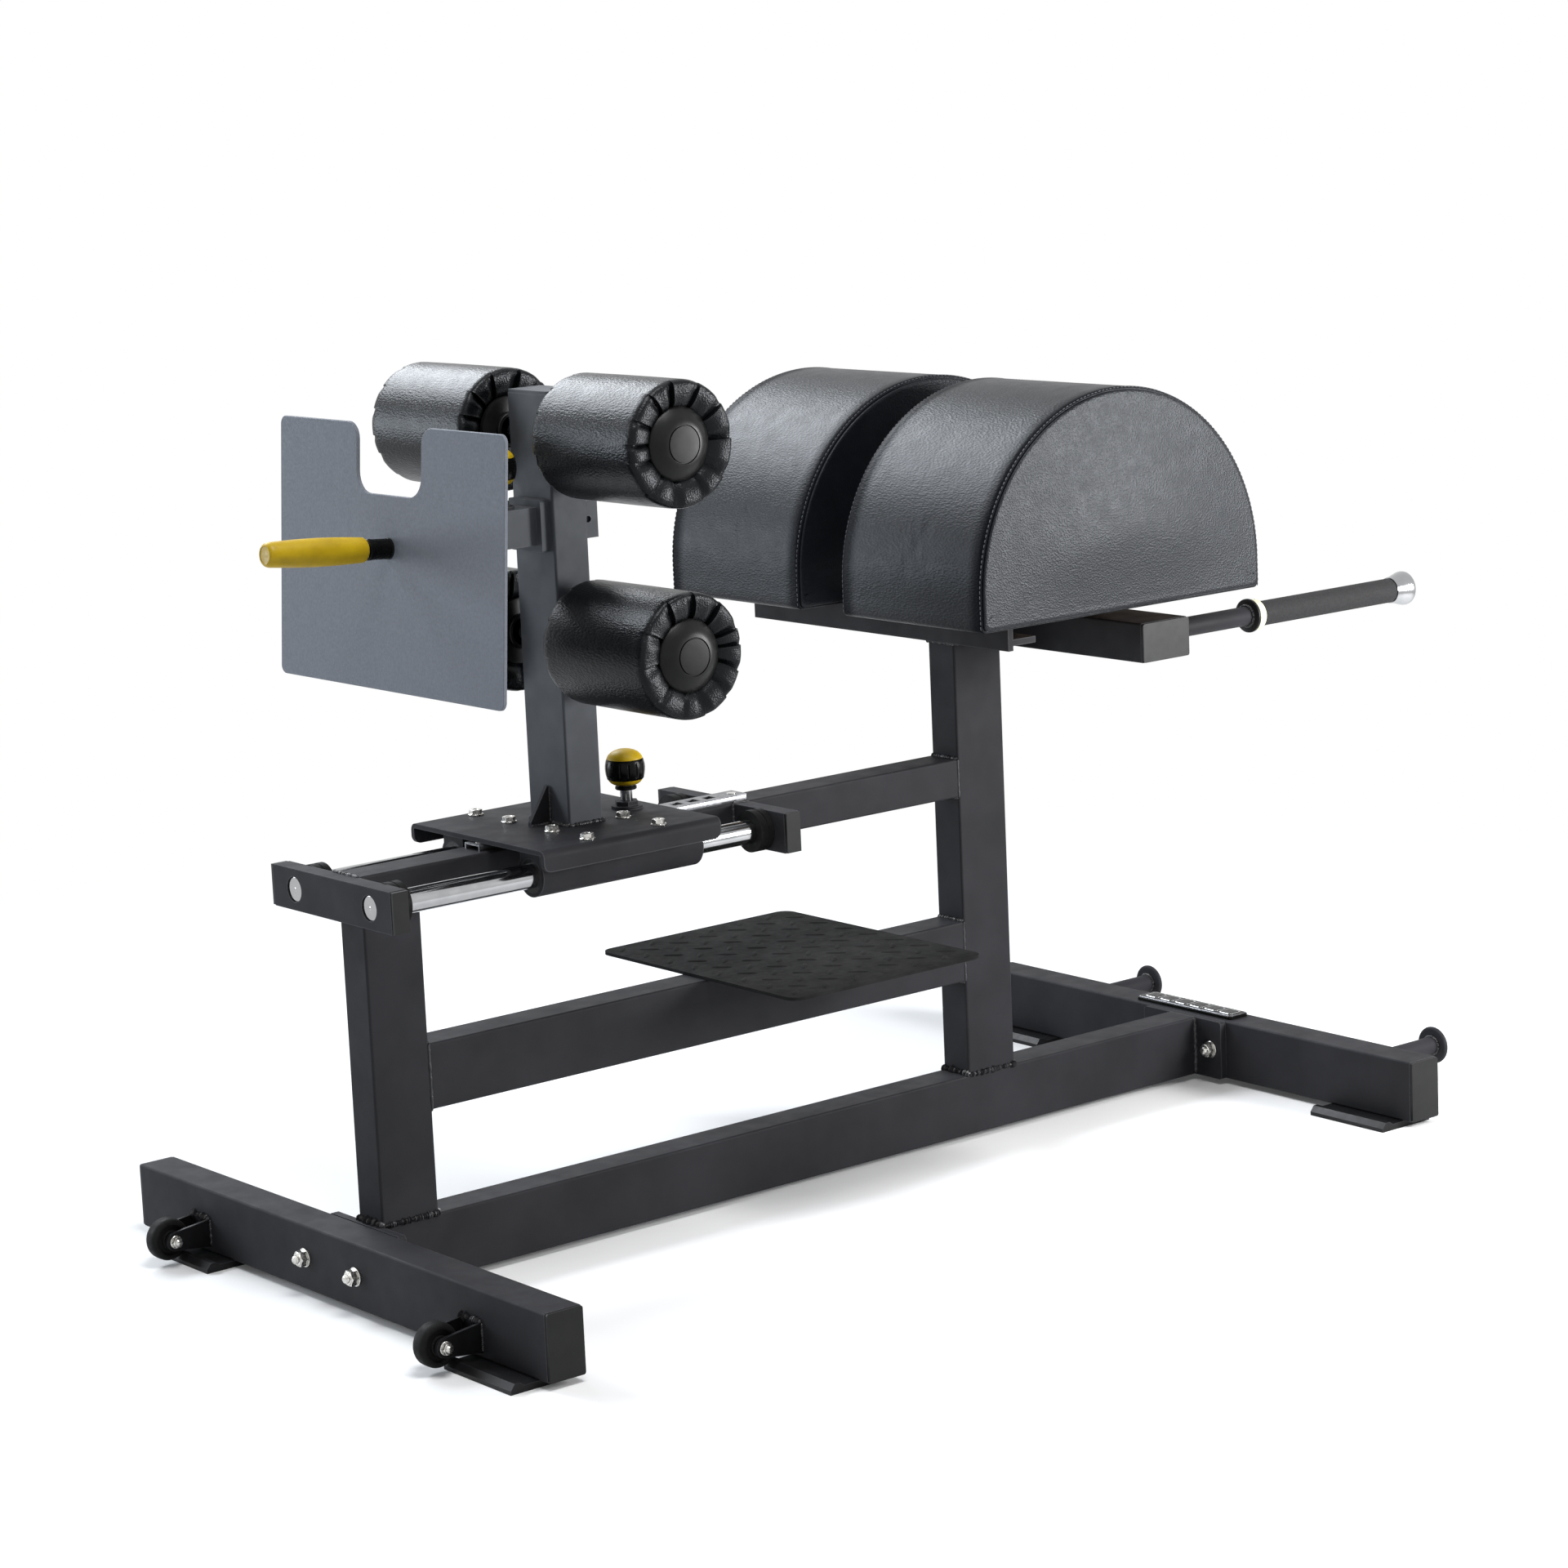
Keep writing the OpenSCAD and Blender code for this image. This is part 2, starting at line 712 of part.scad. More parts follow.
module guide_rods() {
    color(bright) placed() for (s = [-1, 1])
        translate([0, s * rod_y, rod_z])
            rod_x(rail_bar_x + rod_recess, rear_rail_back - rail_bar_x - rod_recess, rod_d);
}

module stop_ring(x0, s) {
    translate([x0, s * rod_y, rod_z]) rotate([0, 90, 0]) difference() {
        cylinder(d = stop_d, h = stop_t);
        translate([0, 0, -1]) cylinder(d = rod_d + 2 * seat_gap, h = stop_t + 2);
        rotate_extrude() translate([stop_d / 2, stop_t / 2]) circle(r = 1.5);
    }
}

module stop_rings() {
    color(soft_black) placed() for (s = [-1, 1]) {
        stop_ring(rail_bar_back, s);
        stop_ring(rear_rail_x - stop_t, s);
    }
}

module index_strip() {
    first = ceil((strip_x + strip_screw_in + strip_screw_d + strip_hole / 2 - carriage_pin_x) / pitch);
    last = floor((strip_x + strip_l - strip_screw_in - strip_screw_d - strip_hole / 2 - carriage_pin_x) / pitch);
    color(zinc) placed() difference() {
        translate([strip_x, -strip_w / 2, rail_top]) cube([strip_l, strip_w, strip_h]);
        translate([strip_x - 1, -strip_w / 2 + strip_t, rail_top - 1])
            cube([strip_l + 2, strip_w - 2 * strip_t, strip_h - strip_t + 1]);
        for (k = [first:last])
            translate([carriage_pin_x + k * pitch - strip_hole / 2, -strip_hole / 2, rail_top])
                cube([strip_hole, strip_hole, strip_h + 1]);
        for (x = [strip_x + strip_screw_in, strip_x + strip_l - strip_screw_in])
            translate([x, 0, rail_top]) cylinder(d = strip_screw_d + 2 * seat_gap, h = strip_h + 1);
    }
}

// each screw: a low head on the strip and a shank that stands on the beam
module strip_screws() {
    color(zinc) placed() for (x = [strip_x + strip_screw_in, strip_x + strip_l - strip_screw_in])
        translate([x, 0, rail_top]) {
            cylinder(d = strip_screw_d, h = strip_h);
            translate([0, 0, strip_h]) cylinder(d = 2 * strip_screw_d, h = 0.5);
        }
}

// Step

module step_plate() {
    color(black) placed()
        translate([step_x + step_l / 2, 0, mid_beam_z + tube_tall])
            linear_extrude(height = step_t) outline(step_l, step_w, step_r);
}

module step_arms() {
    top = mid_beam_z + tube_tall;
    color(black) placed() for (s = [-1, 1])
        along_x(step_x + step_l / 2 - step_arm_t / 2, step_arm_t)
            polygon([
                [s * tube_flat / 2, top], [s * step_arm_reach, top],
                [s * step_arm_reach, top - step_arm_h / 3], [s * tube_flat / 2, top - step_arm_h]]);
}

// Pad support

module cross_tube() {
    color(black) placed()
        along_y(-cross_tube_l / 2 + cap_t, cross_tube_l - 2 * cap_t)
            translate([main_upright_x + tube_tall / 2, main_upright_top + cross_tube_h / 2])
                tube_outline(tube_tall, cross_tube_h, tube_wall, tube_round);
}

module pad_bolt_hole(x, s, z0, z1) {
    translate([x, s * pad_rail_y, z0]) cylinder(d = pad_bolt_d + hole_gap, h = z1 - z0);
}

pad_bolt_x1 = angle_x + angle_w + 30;
pad_bolt_x2 = upright_back + tube_tall / 2;

module pad_rails() {
    x0 = angle_x + angle_t;
    color(black) placed() for (s = [-1, 1]) difference() {
        along_x(x0, handle_beam_back - x0)
            translate([s * pad_rail_y, support_top + pad_rail_h / 2])
                tube_outline(pad_rail_w, pad_rail_h, tube_wall, tube_round);
        pad_bolt_hole(pad_bolt_x1, s, support_top - 1, pad_base + 1);
        pad_bolt_hole(pad_bolt_x2, s, support_top - 1, pad_base + 1);
    }
}

module front_angle() {
    color(black) placed() {
        translate([angle_x, -angle_l / 2, support_top - angle_t]) cube([angle_w, angle_l, angle_t]);
        translate([angle_x, -angle_l / 2, support_top - angle_t - angle_drop])
            cube([angle_t, angle_l, angle_t + angle_drop + pad_rail_h]);
    }
}

module handle_beam() {
    color(black) placed() difference() {
        along_y(-handle_beam_l / 2 + cap_t, handle_beam_l - 2 * cap_t)
            translate([upright_back + tube_tall / 2, handle_z])
                tube_outline(tube_tall, handle_beam_h, tube_wall, tube_round);
        for (s = [-1, 1])
            pad_bolt_hole(pad_bolt_x2, s, handle_z - handle_beam_h, support_top + 1);
    }
}

module pad_bolts() {
    color(zinc) placed() for (s = [-1, 1]) {
        translate([pad_bolt_x1, s * pad_rail_y, support_top]) {
            cylinder(d = pad_bolt_d, h = pad_rail_h + pad_bolt_grip);
            translate([0, 0, -5]) cylinder(d = 1.7 * pad_bolt_d, h = 5, $fn = 6);
        }
        translate([pad_bolt_x2, s * pad_rail_y, support_top - handle_beam_h]) {
            cylinder(d = pad_bolt_d, h = handle_beam_h + pad_rail_h + pad_bolt_grip);
            translate([0, 0, -5]) cylinder(d = 1.7 * pad_bolt_d, h = 5, $fn = 6);
        }
    }
}

module pad_boards() {
    color(black) placed() for (s = [-1, 1]) difference() {
        translate([pad_x - pad_r + board_in, s > 0 ? pad_in + board_in : -pad_out + board_in, pad_base])
            cube([2 * (pad_r - board_in), pad_out - pad_in - 2 * board_in, board_t]);
        pad_bolt_hole(pad_bolt_x1, s, pad_base - 1, pad_base + pad_bolt_grip + 0.3);
        pad_bolt_hole(pad_bolt_x2, s, pad_base - 1, pad_base + pad_bolt_grip + 0.3);
    }
}

// Thigh pads: each is a loft of rounded sections along Y, with a crown, rolled edges and a seam channel

// how far a section stands inside the full outline, at a distance d from the pad's end
function pad_inset(d) =
    d < pad_edge ? pad_edge - sqrt(pad_edge * pad_edge - (pad_edge - d) * (pad_edge - d)) :
    abs(d - pad_edge - 3) < 0.6 ? 1.2 : 0;

function pad_bulge(v, half) = pad_crown * (1 - (v / half) * (v / half));

pad_arc_steps = 32;

function pad_section(y, inset, bulge) = concat(
    [[pad_x + pad_r - inset, y, pad_base + min(inset, 2)]],
    [[pad_x + pad_r - inset - 1, y, pad_base + pad_side_h / 2]],
    [for (i = [0:pad_arc_steps])
        let (a = 180 * i / pad_arc_steps, r = pad_r - inset - pad_crown + bulge * sin(a))
            [pad_x + r * cos(a), y, pad_z + (r + pad_crown * sin(a) * 0) * sin(a)]],
    [[pad_x - pad_r + inset + 1, y, pad_base + pad_side_h / 2]],
    [[pad_x - pad_r + inset, y, pad_base + min(inset, 2)]]);

module pad_form(y0, y1) {
    half = (y1 - y0) / 2;
    mid = (y0 + y1) / 2;
    ends = [0, 0.15, 0.4, 0.7, 1];
    near = concat([for (t = ends) t * pad_edge], [pad_edge + 2, pad_edge + 3, pad_edge + 4, pad_edge + 12]);
    middle = [half * 0.35, half * 0.65];
    dist = concat(near, middle);
    n_d = len(dist);
    stations = concat([for (d = dist) -half + d], [0], [for (i = [0:n_d - 1]) half - dist[n_d - 1 - i]]);
    sections = [for (v = stations)
        pad_section(mid + v, pad_inset(half - abs(v)), pad_bulge(v, half))];
    m = len(sections[0]);
    n = len(sections);
    points = [for (s = sections) for (p = s) p];
    sides = [for (j = [0:n - 2]) for (i = [0:m - 1])
        [j * m + i, j * m + (i + 1) % m, (j + 1) * m + (i + 1) % m, (j + 1) * m + i]];
    first = [for (i = [0:m - 1]) m - 1 - i];
    last = [for (i = [0:m - 1]) (n - 1) * m + i];
    polyhedron(points = points, faces = concat(sides, [first], [last]), convexity = 4);
}

module thigh_pad(y0, y1) {
    difference() {
        pad_form(y0, y1);
        translate([
            pad_x - pad_r + board_in - seat_gap, y0 + board_in - seat_gap, pad_base - 1])
            cube([
                2 * (pad_r - board_in + seat_gap), y1 - y0 - 2 * (board_in - seat_gap), board_t + 1 + seat_gap]);
    }
}

module thigh_pad_left() {
    color(soft_black) placed() thigh_pad(pad_in, pad_out);
}

module thigh_pad_right() {
    color(soft_black) placed() thigh_pad(-pad_out, -pad_in);
}

// Handles

module handle_tubes() {
    color(black) placed() for (s = [-1, 1]) translate([0, s * handle_y, handle_z]) difference() {
        rod_x(handle_beam_back, handle_bare + ring_t + trim_t + handle_grip_l + end_l / 2, handle_d);
        rod_x(handle_beam_back - 1, handle_bare + handle_grip_l, handle_d - 2 * tube_wall);
    }
}

module ring_x(x0, len, d) {
    rotate([0, 90, 0]) translate([0, 0, x0]) rotate_extrude() difference() {
        translate([handle_d / 2 + seat_gap, 0]) square([(d - handle_d) / 2 - seat_gap, len]);
        translate([d / 2, len]) circle(r = len / 3);
    }
}

module handle_rings() {
    color(soft_black) placed() for (s = [-1, 1])
        translate([0, s * handle_y, handle_z]) ring_x(handle_ring_x, ring_t, ring_d);
}

module handle_trims() {
    color([0.8, 0.7, 0.45]) placed() for (s = [-1, 1])
        translate([0, s * handle_y, handle_z]) ring_x(handle_ring_x + ring_t, trim_t, ring_d - 4);
}

module handle_grips() {
    color(soft_black) placed() for (s = [-1, 1])
        translate([handle_grip_x, s * handle_y, handle_z]) rotate([0, 90, 0]) difference() {
            cylinder(d = handle_grip_d, h = handle_grip_l);
            translate([0, 0, -1]) cylinder(d = handle_d + 2 * seat_gap, h = handle_grip_l + 2);
        }
}

module handle_ends() {
    color(bright) placed() for (s = [-1, 1])
        translate([handle_end_x, s * handle_y, handle_z]) rotate([0, 90, 0]) difference() {
            rotate_extrude() difference() {
                square([end_d / 2, end_l]);
                translate([end_d / 2 + 12, 2]) circle(r = 18);
                translate([end_d / 2 - 4, end_l - 4]) difference() {
                    square([5, 5]);
                    circle(r = 4);
                }
            }
            translate([0, 0, -1]) cylinder(d = handle_d + 2 * seat_gap, h = end_l / 2 + 1 + seat_gap);
        }
}

// Carriage

module plate_section() {
    top = plate_z;
    difference() {
        translate([-plate_w / 2, top - plate_side]) square([plate_w, plate_side]);
        translate([-plate_w / 2 + plate_t, top - plate_side - 1])
            square([plate_w - 2 * plate_t, plate_side - plate_t + 1]);
        for (s = [-1, 1])
            translate([s * (plate_w / 2 - plate_bend), top - plate_bend]) difference() {
                translate([s > 0 ? 0 : -plate_bend, 0]) square([plate_bend, plate_bend]);
                circle(r = plate_bend);
            }
    }
}

module carriage_plate() {
    color(black) placed() difference() {
        along_x(plate_x, plate_l) plate_section();
        for (x = [plate_x, plate_x + plate_l])
            along_y(-plate_w / 2 - 1, plate_w + 2)
                translate([x + (x > plate_x ? -plate_corner : plate_corner), plate_z - plate_side + plate_corner])
                    difference() {
                        translate([x > plate_x ? 0 : -plate_corner - 1, -plate_corner - 1])
                            square([plate_corner + 1, plate_corner + 1]);
                        circle(r = plate_corner);
                    }
        for (x = [bolt_x1, bolt_x2]) for (s = [-1, 1]) for (t = [-1, 1])
            translate([x, s * rod_y + t * bolt_side, plate_under - 1])
                cylinder(d = carriage_bolt_d + hole_gap, h = plate_t + 2);
        translate([carriage_pin_x, 0, plate_under - 1]) cylinder(d = shaft_d + 2 * pin_gap, h = plate_t + 2);
    }
}

module bearing_housings() {
    color(graphite) placed() for (s = [-1, 1]) difference() {
        union() {
            translate([0, s * rod_y, rod_z]) rod_x(housing_x, housing_l, housing_d);
            translate([housing_x, s * rod_y - housing_flange_w / 2, plate_under - housing_flange_t])
                cube([housing_l, housing_flange_w, housing_flange_t]);
            translate([housing_x, s * rod_y - bush_d / 2, rod_z + 8])
                cube([housing_l, bush_d, plate_under - rod_z - 9]);
        }
        translate([0, s * rod_y, rod_z]) rod_x(housing_x - 1, housing_l + 2, bush_d + 2 * seat_gap);
        for (x = [bolt_x1, bolt_x2]) for (t = [-1, 1])
            translate([x, s * rod_y + t * bolt_side, plate_under - housing_flange_t - 1])
                cylinder(d = carriage_bolt_d + hole_gap, h = housing_flange_t + 2);
    }
}

module plain_bushes() {
    color([0.2, 0.2, 0.2]) placed() for (s = [-1, 1])
        for (x = [housing_x, housing_x + housing_l - bush_l])
            translate([x, s * rod_y, rod_z]) rotate([0, 90, 0]) difference() {
                cylinder(d = bush_d, h = bush_l);
                translate([0, 0, -1]) cylinder(d = rod_d + 2 * run_gap, h = bush_l + 2);
            }
}

module carriage_bolts() {
    grip = plate_t + housing_flange_t;
    color(zinc) placed() for (x = [bolt_x1, bolt_x2]) for (s = [-1, 1]) for (t = [-1, 1])
        translate([x, s * rod_y + t * bolt_side, plate_z + 1.6]) rotate([0, 90, 0]) {
            bolt_x(carriage_bolt_d, grip + 1.6, 1.2, 1);
            rod_x(0, 1.6, 2.4 * carriage_bolt_d);
        }
}

module roller_post() {
    color(black) placed() difference() {
        translate([post_x + tube_flat / 2, 0, plate_z]) linear_extrude(height = post_top - cap_t - plate_z)
            tube_outline(tube_flat, tube_tall, tube_wall, tube_round);
        translate([post_x - 1, -sleeve_w / 2 - seat_gap, arm_z - sleeve_w / 2 - seat_gap])
            cube([tube_flat + 2, sleeve_w + 2 * seat_gap, sleeve_w + 2 * seat_gap]);
        for (z = [upper_shaft_z, lower_shaft_z])
            translate([shaft_pos_x, 0, z]) rod_y_axis(-tube_tall, 2 * tube_tall, roller_shaft_d + 2 * seat_gap);
    }
}

module post_cap() {
    color(black) placed()
        translate([post_x + tube_flat / 2, 0, post_top - cap_t])
            linear_extrude(height = cap_t)
                outline(tube_flat - 2 * cap_inset, tube_tall - 2 * cap_inset, tube_round);
}

module post_gusset() {
    color(black) placed()
        along_y(-gusset_t / 2, gusset_t)
            polygon([
                [post_x, plate_z], [post_x, plate_z + gusset_h], [post_x - 4, plate_z + gusset_h],
                [post_x - gusset_l, plate_z + 5], [post_x - gusset_l, plate_z]]);
}

module arm_sleeve() {
    color(black) placed() difference() {
        union() {
            along_x(sleeve_x, sleeve_end - sleeve_x)
                translate([0, arm_z]) square([sleeve_w, sleeve_w], center = true);
            along_x(post_x - collar_t, collar_t)
                translate([0, arm_z]) outline(collar_w, collar_h, 3);
        }
        along_x(sleeve_x - 1, sleeve_end - sleeve_x + 2)
            translate([0, arm_z]) square([sleeve_in, sleeve_in], center = true);
        translate([arm_pin_x, 0, arm_z]) cylinder(d = shaft_d + 2 * pin_gap, h = sleeve_w);
        translate([sleeve_end - 14, 0, arm_z]) rod_y_axis(-sleeve_w, sleeve_w, 8);
    }
}

module roller_shafts() {
    color(bright) placed() for (z = [upper_shaft_z, lower_shaft_z])
        translate([shaft_pos_x, 0, z])
            rod_y_axis(-roller_out + cap_dome, 2 * (roller_out - cap_dome), roller_shaft_d);
}

module pin_base() {
    difference() {
        union() {
            cylinder(d = pin_base_d, h = 4);
            cylinder(d = pin_base_d - 8, h = pin_base_h, $fn = 6);
        }
        translate([0, 0, -1]) cylinder(d = shaft_d + 2 * pin_gap, h = pin_base_h + 2);
    }
}

module pin_bases() {
    color(zinc) placed() {
        translate([carriage_pin_x, 0, plate_z]) pin_base();
        translate([arm_pin_x, 0, sleeve_top]) pin_base();
    }
}

// shaft and tip, from the face that the pin's base stands on; drop is how far below that face the tip ends
module pop_pin(drop) {
    translate([0, 0, shoulder_z]) cylinder(d = shaft_d, h = neck_z + knob_grip - shoulder_z);
    translate([0, 0, -drop]) cylinder(d = tip_d, h = drop + shoulder_z + 1);
}

module knob() {
    difference() {
        union() {
            translate([0, 0, neck_z]) cylinder(d = neck_d, h = knob_z - neck_z);
            translate([0, 0, knob_z]) sphere(d = knob_d);
        }
        translate([0, 0, neck_z - 1]) cylinder(d = shaft_d + 2 * seat_gap, h = knob_grip + 1 + seat_gap);
    }
}

module carriage_pin() {
    color(bright) placed()
        translate([carriage_pin_x, 0, plate_z]) pop_pin(plate_t + plate_gap - tip_clear);
}

module carriage_knob() {
    color(yellow) placed() translate([carriage_pin_x, 0, plate_z]) knob();
}

module arm_pin() {
    color(bright) placed()
        translate([arm_pin_x, 0, sleeve_top]) pop_pin(sleeve_wall + slide_gap - tip_clear);
}

module arm_knob() {
    color(yellow) placed() translate([arm_pin_x, 0, sleeve_top]) knob();
}

// Foot plate

module on_foot_plate() {
    translate([plate_foot_x, 0, plate_foot_z]) rotate([0, plate_tilt, 0]) children();
}

// outline of the plate as (Y, slope)
module foot_plate_outline() {
    half = plate_foot_w / 2;
    difference() {
        translate([0, plate_foot_h / 2]) outline(plate_foot_w, plate_foot_h, plate_foot_r);
        translate([-notch_half, notch_floor + notch_r])
            square([2 * notch_half, plate_foot_h - notch_floor]);
        translate([-notch_half + notch_r, notch_floor])
            square([2 * (notch_half - notch_r), plate_foot_h - notch_floor]);
        for (s = [-1, 1]) {
            translate([s * (notch_half - notch_r), notch_floor + notch_r]) circle(r = notch_r);
            translate([s * (notch_half + mouth_r), plate_foot_h - mouth_r]) difference() {
                translate([s > 0 ? -mouth_r - 1 : 0, 0]) square([mouth_r + 1, mouth_r + 1]);
                circle(r = mouth_r);
            }
        }
    }
}

module foot_plate() {
    color(graphite) placed() on_foot_plate() difference() {
        along_x(0, plate_foot_t) foot_plate_outline();
        translate([0, 0, grip_up]) rod_x(-1, plate_foot_t + 2, grip_bolt_d + hole_gap);
    }
}

module foot_plate_arm() {
    back = post_x + arm_back;
    color(black) placed() difference() {
        along_x(plate_foot_x - 20, back - plate_foot_x + 20)
            translate([0, arm_z]) tube_outline(arm_w, arm_w, arm_wall, 1.5);
        on_foot_plate() translate([plate_foot_t - 400, -100, -50]) cube([400, 200, 500]);
        for (k = [-3:3])
            translate([arm_pin_x + k * pitch, 0, arm_z]) cylinder(d = tip_d + 1.4, h = arm_w);
    }
}

module foot_plate_grip() {
    color(yellow) placed() on_foot_plate() translate([0, 0, grip_up]) difference() {
        translate([-grip_neck_l - grip_l, 0, 0]) rotate([0, 90, 0]) rotate_extrude() difference() {
            square([grip_d / 2, grip_l]);
            translate([grip_d / 2 - 5, 5]) difference() {
                translate([0, -5]) square([5, 5]);
                circle(r = 5);
            }
        }
        rod_x(-grip_neck_l - grip_bolt_in - seat_gap, grip_bolt_in + seat_gap + 1, grip_bolt_d + 2 * seat_gap);
    }
}

module grip_collar() {
    color(soft_black) placed() on_foot_plate() translate([0, 0, grip_up]) difference() {
        rod_x(-grip_neck_l, grip_neck_l, grip_neck_d);
        rod_x(-grip_neck_l - 1, grip_neck_l + 2, grip_bolt_d + 2 * seat_gap);
    }
}

// the bolt that holds grip and collar: its head lies behind the plate
module grip_bolt() {
    len = grip_neck_l + grip_bolt_in + plate_foot_t + 1.5;
    color(zinc) placed() on_foot_plate() translate([0, 0, grip_up]) {
        rod_x(-grip_neck_l - grip_bolt_in, len, grip_bolt_d);
        rod_x(plate_foot_t, 1.5, 2.2 * grip_bolt_d);
        translate([plate_foot_t + 1.5, 0, 0]) rotate([0, 90, 0]) cylinder(d = 1.8 * grip_bolt_d, h = 6, $fn = 6);
    }
}

// Rollers: a padded sleeve with gathered ends, a hub tube and a domed cap at the outer end

// rings of the padded sleeve from one end to the other: [radius, height, how deep its pleats are]
function roller_rings(len) =
    let (
        r = roller_d / 2, c = cap_d / 2, low = cap_dome / 2, high = len - cap_dome / 2,
        end = [[c - 5, 6, 0], [c + 2, 2.5, 2.5], [c + 9, 0, pleat_depth],
            [r - 11, 1.2, pleat_depth], [r - 5, 5, 0.8 * pleat_depth], [r - 1.2, 11, 1.5], [r, 20, 0]],
        n = len(end))
    concat(
        [for (e = end) [e[0], low + e[1], e[2]]],
        [for (i = [0:n - 1]) let (e = end[n - 1 - i]) [e[0], high - e[1], -e[2]]]);

// how deep the gather is at a share t of one pleat's width
pleat_shape = [[0, 1], [0.1, 0.35], [0.5, 0], [0.9, 0.35]];

module roller_sleeve(len) {
    rings = roller_rings(len);
    m = 4 * pleats;
    n = len(rings);
    points = [for (g = rings) for (k = [0:m - 1])
        let (q = pleat_shape[k % 4], a = 360 * (floor(k / 4) + q[0]) / pleats)
            [g[0] * cos(a), g[0] * sin(a), g[1] + g[2] * q[1]]];
    sides = [for (j = [0:n - 2]) for (k = [0:m - 1]) for (f = [0, 1])
        let (
            a = j * m + k, b = j * m + (k + 1) % m,
            c = (j + 1) * m + (k + 1) % m, d = (j + 1) * m + k)
            f == 0 ? [a, d, b] : [b, d, c]];
    first = [for (k = [0:m - 1]) k];
    last = [for (k = [0:m - 1]) n * m - 1 - k];
    polyhedron(points = points, faces = concat(sides, [first], [last]), convexity = 6);
}

module roller(s, z) {
    len = roller_out - roller_in;
    dome_r = (cap_d * cap_d / 4 + cap_dome * cap_dome) / (2 * cap_dome);
    rim = cap_d / 2;
    color(soft_black) placed() translate([shaft_pos_x, s * roller_in, z])
        rotate([s > 0 ? -90 : 90, 0, 0]) difference() {
            union() {
                roller_sleeve(len);
                rotate_extrude() {
                    difference() {
                        translate([0, len - dome_r]) circle(r = dome_r);
                        translate([-2 * dome_r, -3 * dome_r])
                            square([4 * dome_r, 3 * dome_r + len - cap_dome + 0.5]);
                        translate([-2 * dome_r, 0]) square([2 * dome_r, 2 * len]);
                    }
                    translate([0, len - 3 * cap_dome]) square([rim - 3, 2 * cap_dome + 1]);
                    translate([0, 0.5]) square([hub_d / 2 + 5, 3 * cap_dome]);
                }
            }
            translate([0, 0, -1]) cylinder(d = roller_shaft_d + 2 * run_gap, h = len - cap_dome + 1.5);
        }
}

module roller_upper_left() roller(1, upper_shaft_z);

module roller_upper_right() roller(-1, upper_shaft_z);

module roller_lower_left() roller(1, lower_shaft_z);

module roller_lower_right() roller(-1, lower_shaft_z);

front_base_bar();
rear_base_bar();
end_caps();
base_beam();
base_flanges();
base_bolts();
feet();
wheel_forks();
wheel_axles();
band_pegs();
front_upright();
main_upright();
mid_beam();
upper_beam();
front_rail_bar();
rear_rail_bar();
guide_rods();
stop_rings();
index_strip();
strip_screws();
step_plate();
step_arms();
cross_tube();
pad_rails();
front_angle();
handle_beam();
handle_tubes();
handle_rings();
handle_trims();
handle_grips();
handle_ends();
pad_boards();
pad_bolts();
thigh_pad_left();
thigh_pad_right();
carriage_plate();
bearing_housings();
plain_bushes();
carriage_bolts();
roller_post();
post_cap();
post_gusset();
arm_sleeve();
roller_shafts();
pin_bases();
foot_plate();
foot_plate_arm();
foot_plate_grip();
grip_collar();
grip_bolt();
carriage_pin();
carriage_knob();
arm_pin();
arm_knob();
roller_upper_left();
roller_upper_right();
roller_lower_left();
roller_lower_right();
wheel_left();
wheel_right();
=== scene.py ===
# %% [markdown]
# # A glute ham developer in Blender
# The machine is a welded steel frame with a sliding carriage, four padded ankle rollers, a foot plate and
# two half round thigh pads. The solids come from the CAD model. This file dresses them: it gives the steel
# its powder coat, sews the pads, gathers the roller covers, turns the knobs and grips, and lights the scene.

import json
import math
import random

import bpy
from mathutils import Matrix, Vector, noise


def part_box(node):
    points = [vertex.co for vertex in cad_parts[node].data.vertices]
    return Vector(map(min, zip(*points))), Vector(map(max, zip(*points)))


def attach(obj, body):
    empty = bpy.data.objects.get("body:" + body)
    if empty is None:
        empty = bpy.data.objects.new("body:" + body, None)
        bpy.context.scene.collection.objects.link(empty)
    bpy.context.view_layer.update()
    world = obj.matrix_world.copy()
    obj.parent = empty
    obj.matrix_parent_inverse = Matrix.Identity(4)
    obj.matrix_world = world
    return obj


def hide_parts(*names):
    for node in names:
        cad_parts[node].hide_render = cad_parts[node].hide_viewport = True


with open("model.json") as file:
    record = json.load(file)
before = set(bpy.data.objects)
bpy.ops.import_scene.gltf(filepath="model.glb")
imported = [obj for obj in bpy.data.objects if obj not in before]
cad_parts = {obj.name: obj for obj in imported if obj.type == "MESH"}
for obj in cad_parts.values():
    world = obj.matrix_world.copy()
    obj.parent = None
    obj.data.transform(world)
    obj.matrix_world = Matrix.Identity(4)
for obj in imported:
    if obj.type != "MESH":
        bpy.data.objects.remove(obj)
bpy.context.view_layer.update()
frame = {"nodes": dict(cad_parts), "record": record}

# %% [markdown]
# ## One way of measuring
# The machine was measured in millimetres, from the front face of the front bar and from the underside of
# the steel. Blender and the CAD frame use metres from the middle of the footprint on the floor. One small
# function turns the first into the second, so every size below can be read off the real machine.

# %% Machine millimetres to scene metres
MIDDLE_X = 761.5
FOOT_THICK = 8.0
POST_X, POST_TOP = 375.0, 1034.0


def at(x, y, z):
    return Vector(((x - MIDDLE_X) / 1000, y / 1000, (z + FOOT_THICK) / 1000))


print("top of the roller post at", tuple(round(v, 4) for v in at(POST_X, 0, POST_TOP)))

# %% [markdown]
# ## The camera
# A long lens stands at the front right of the machine and looks slightly down. Its place and turn were
# solved from the straight edges of the tubes. The lens is 94.8 mm on a 36 mm sensor, and a small shift
# keeps the machine off centre as it is in the picture.

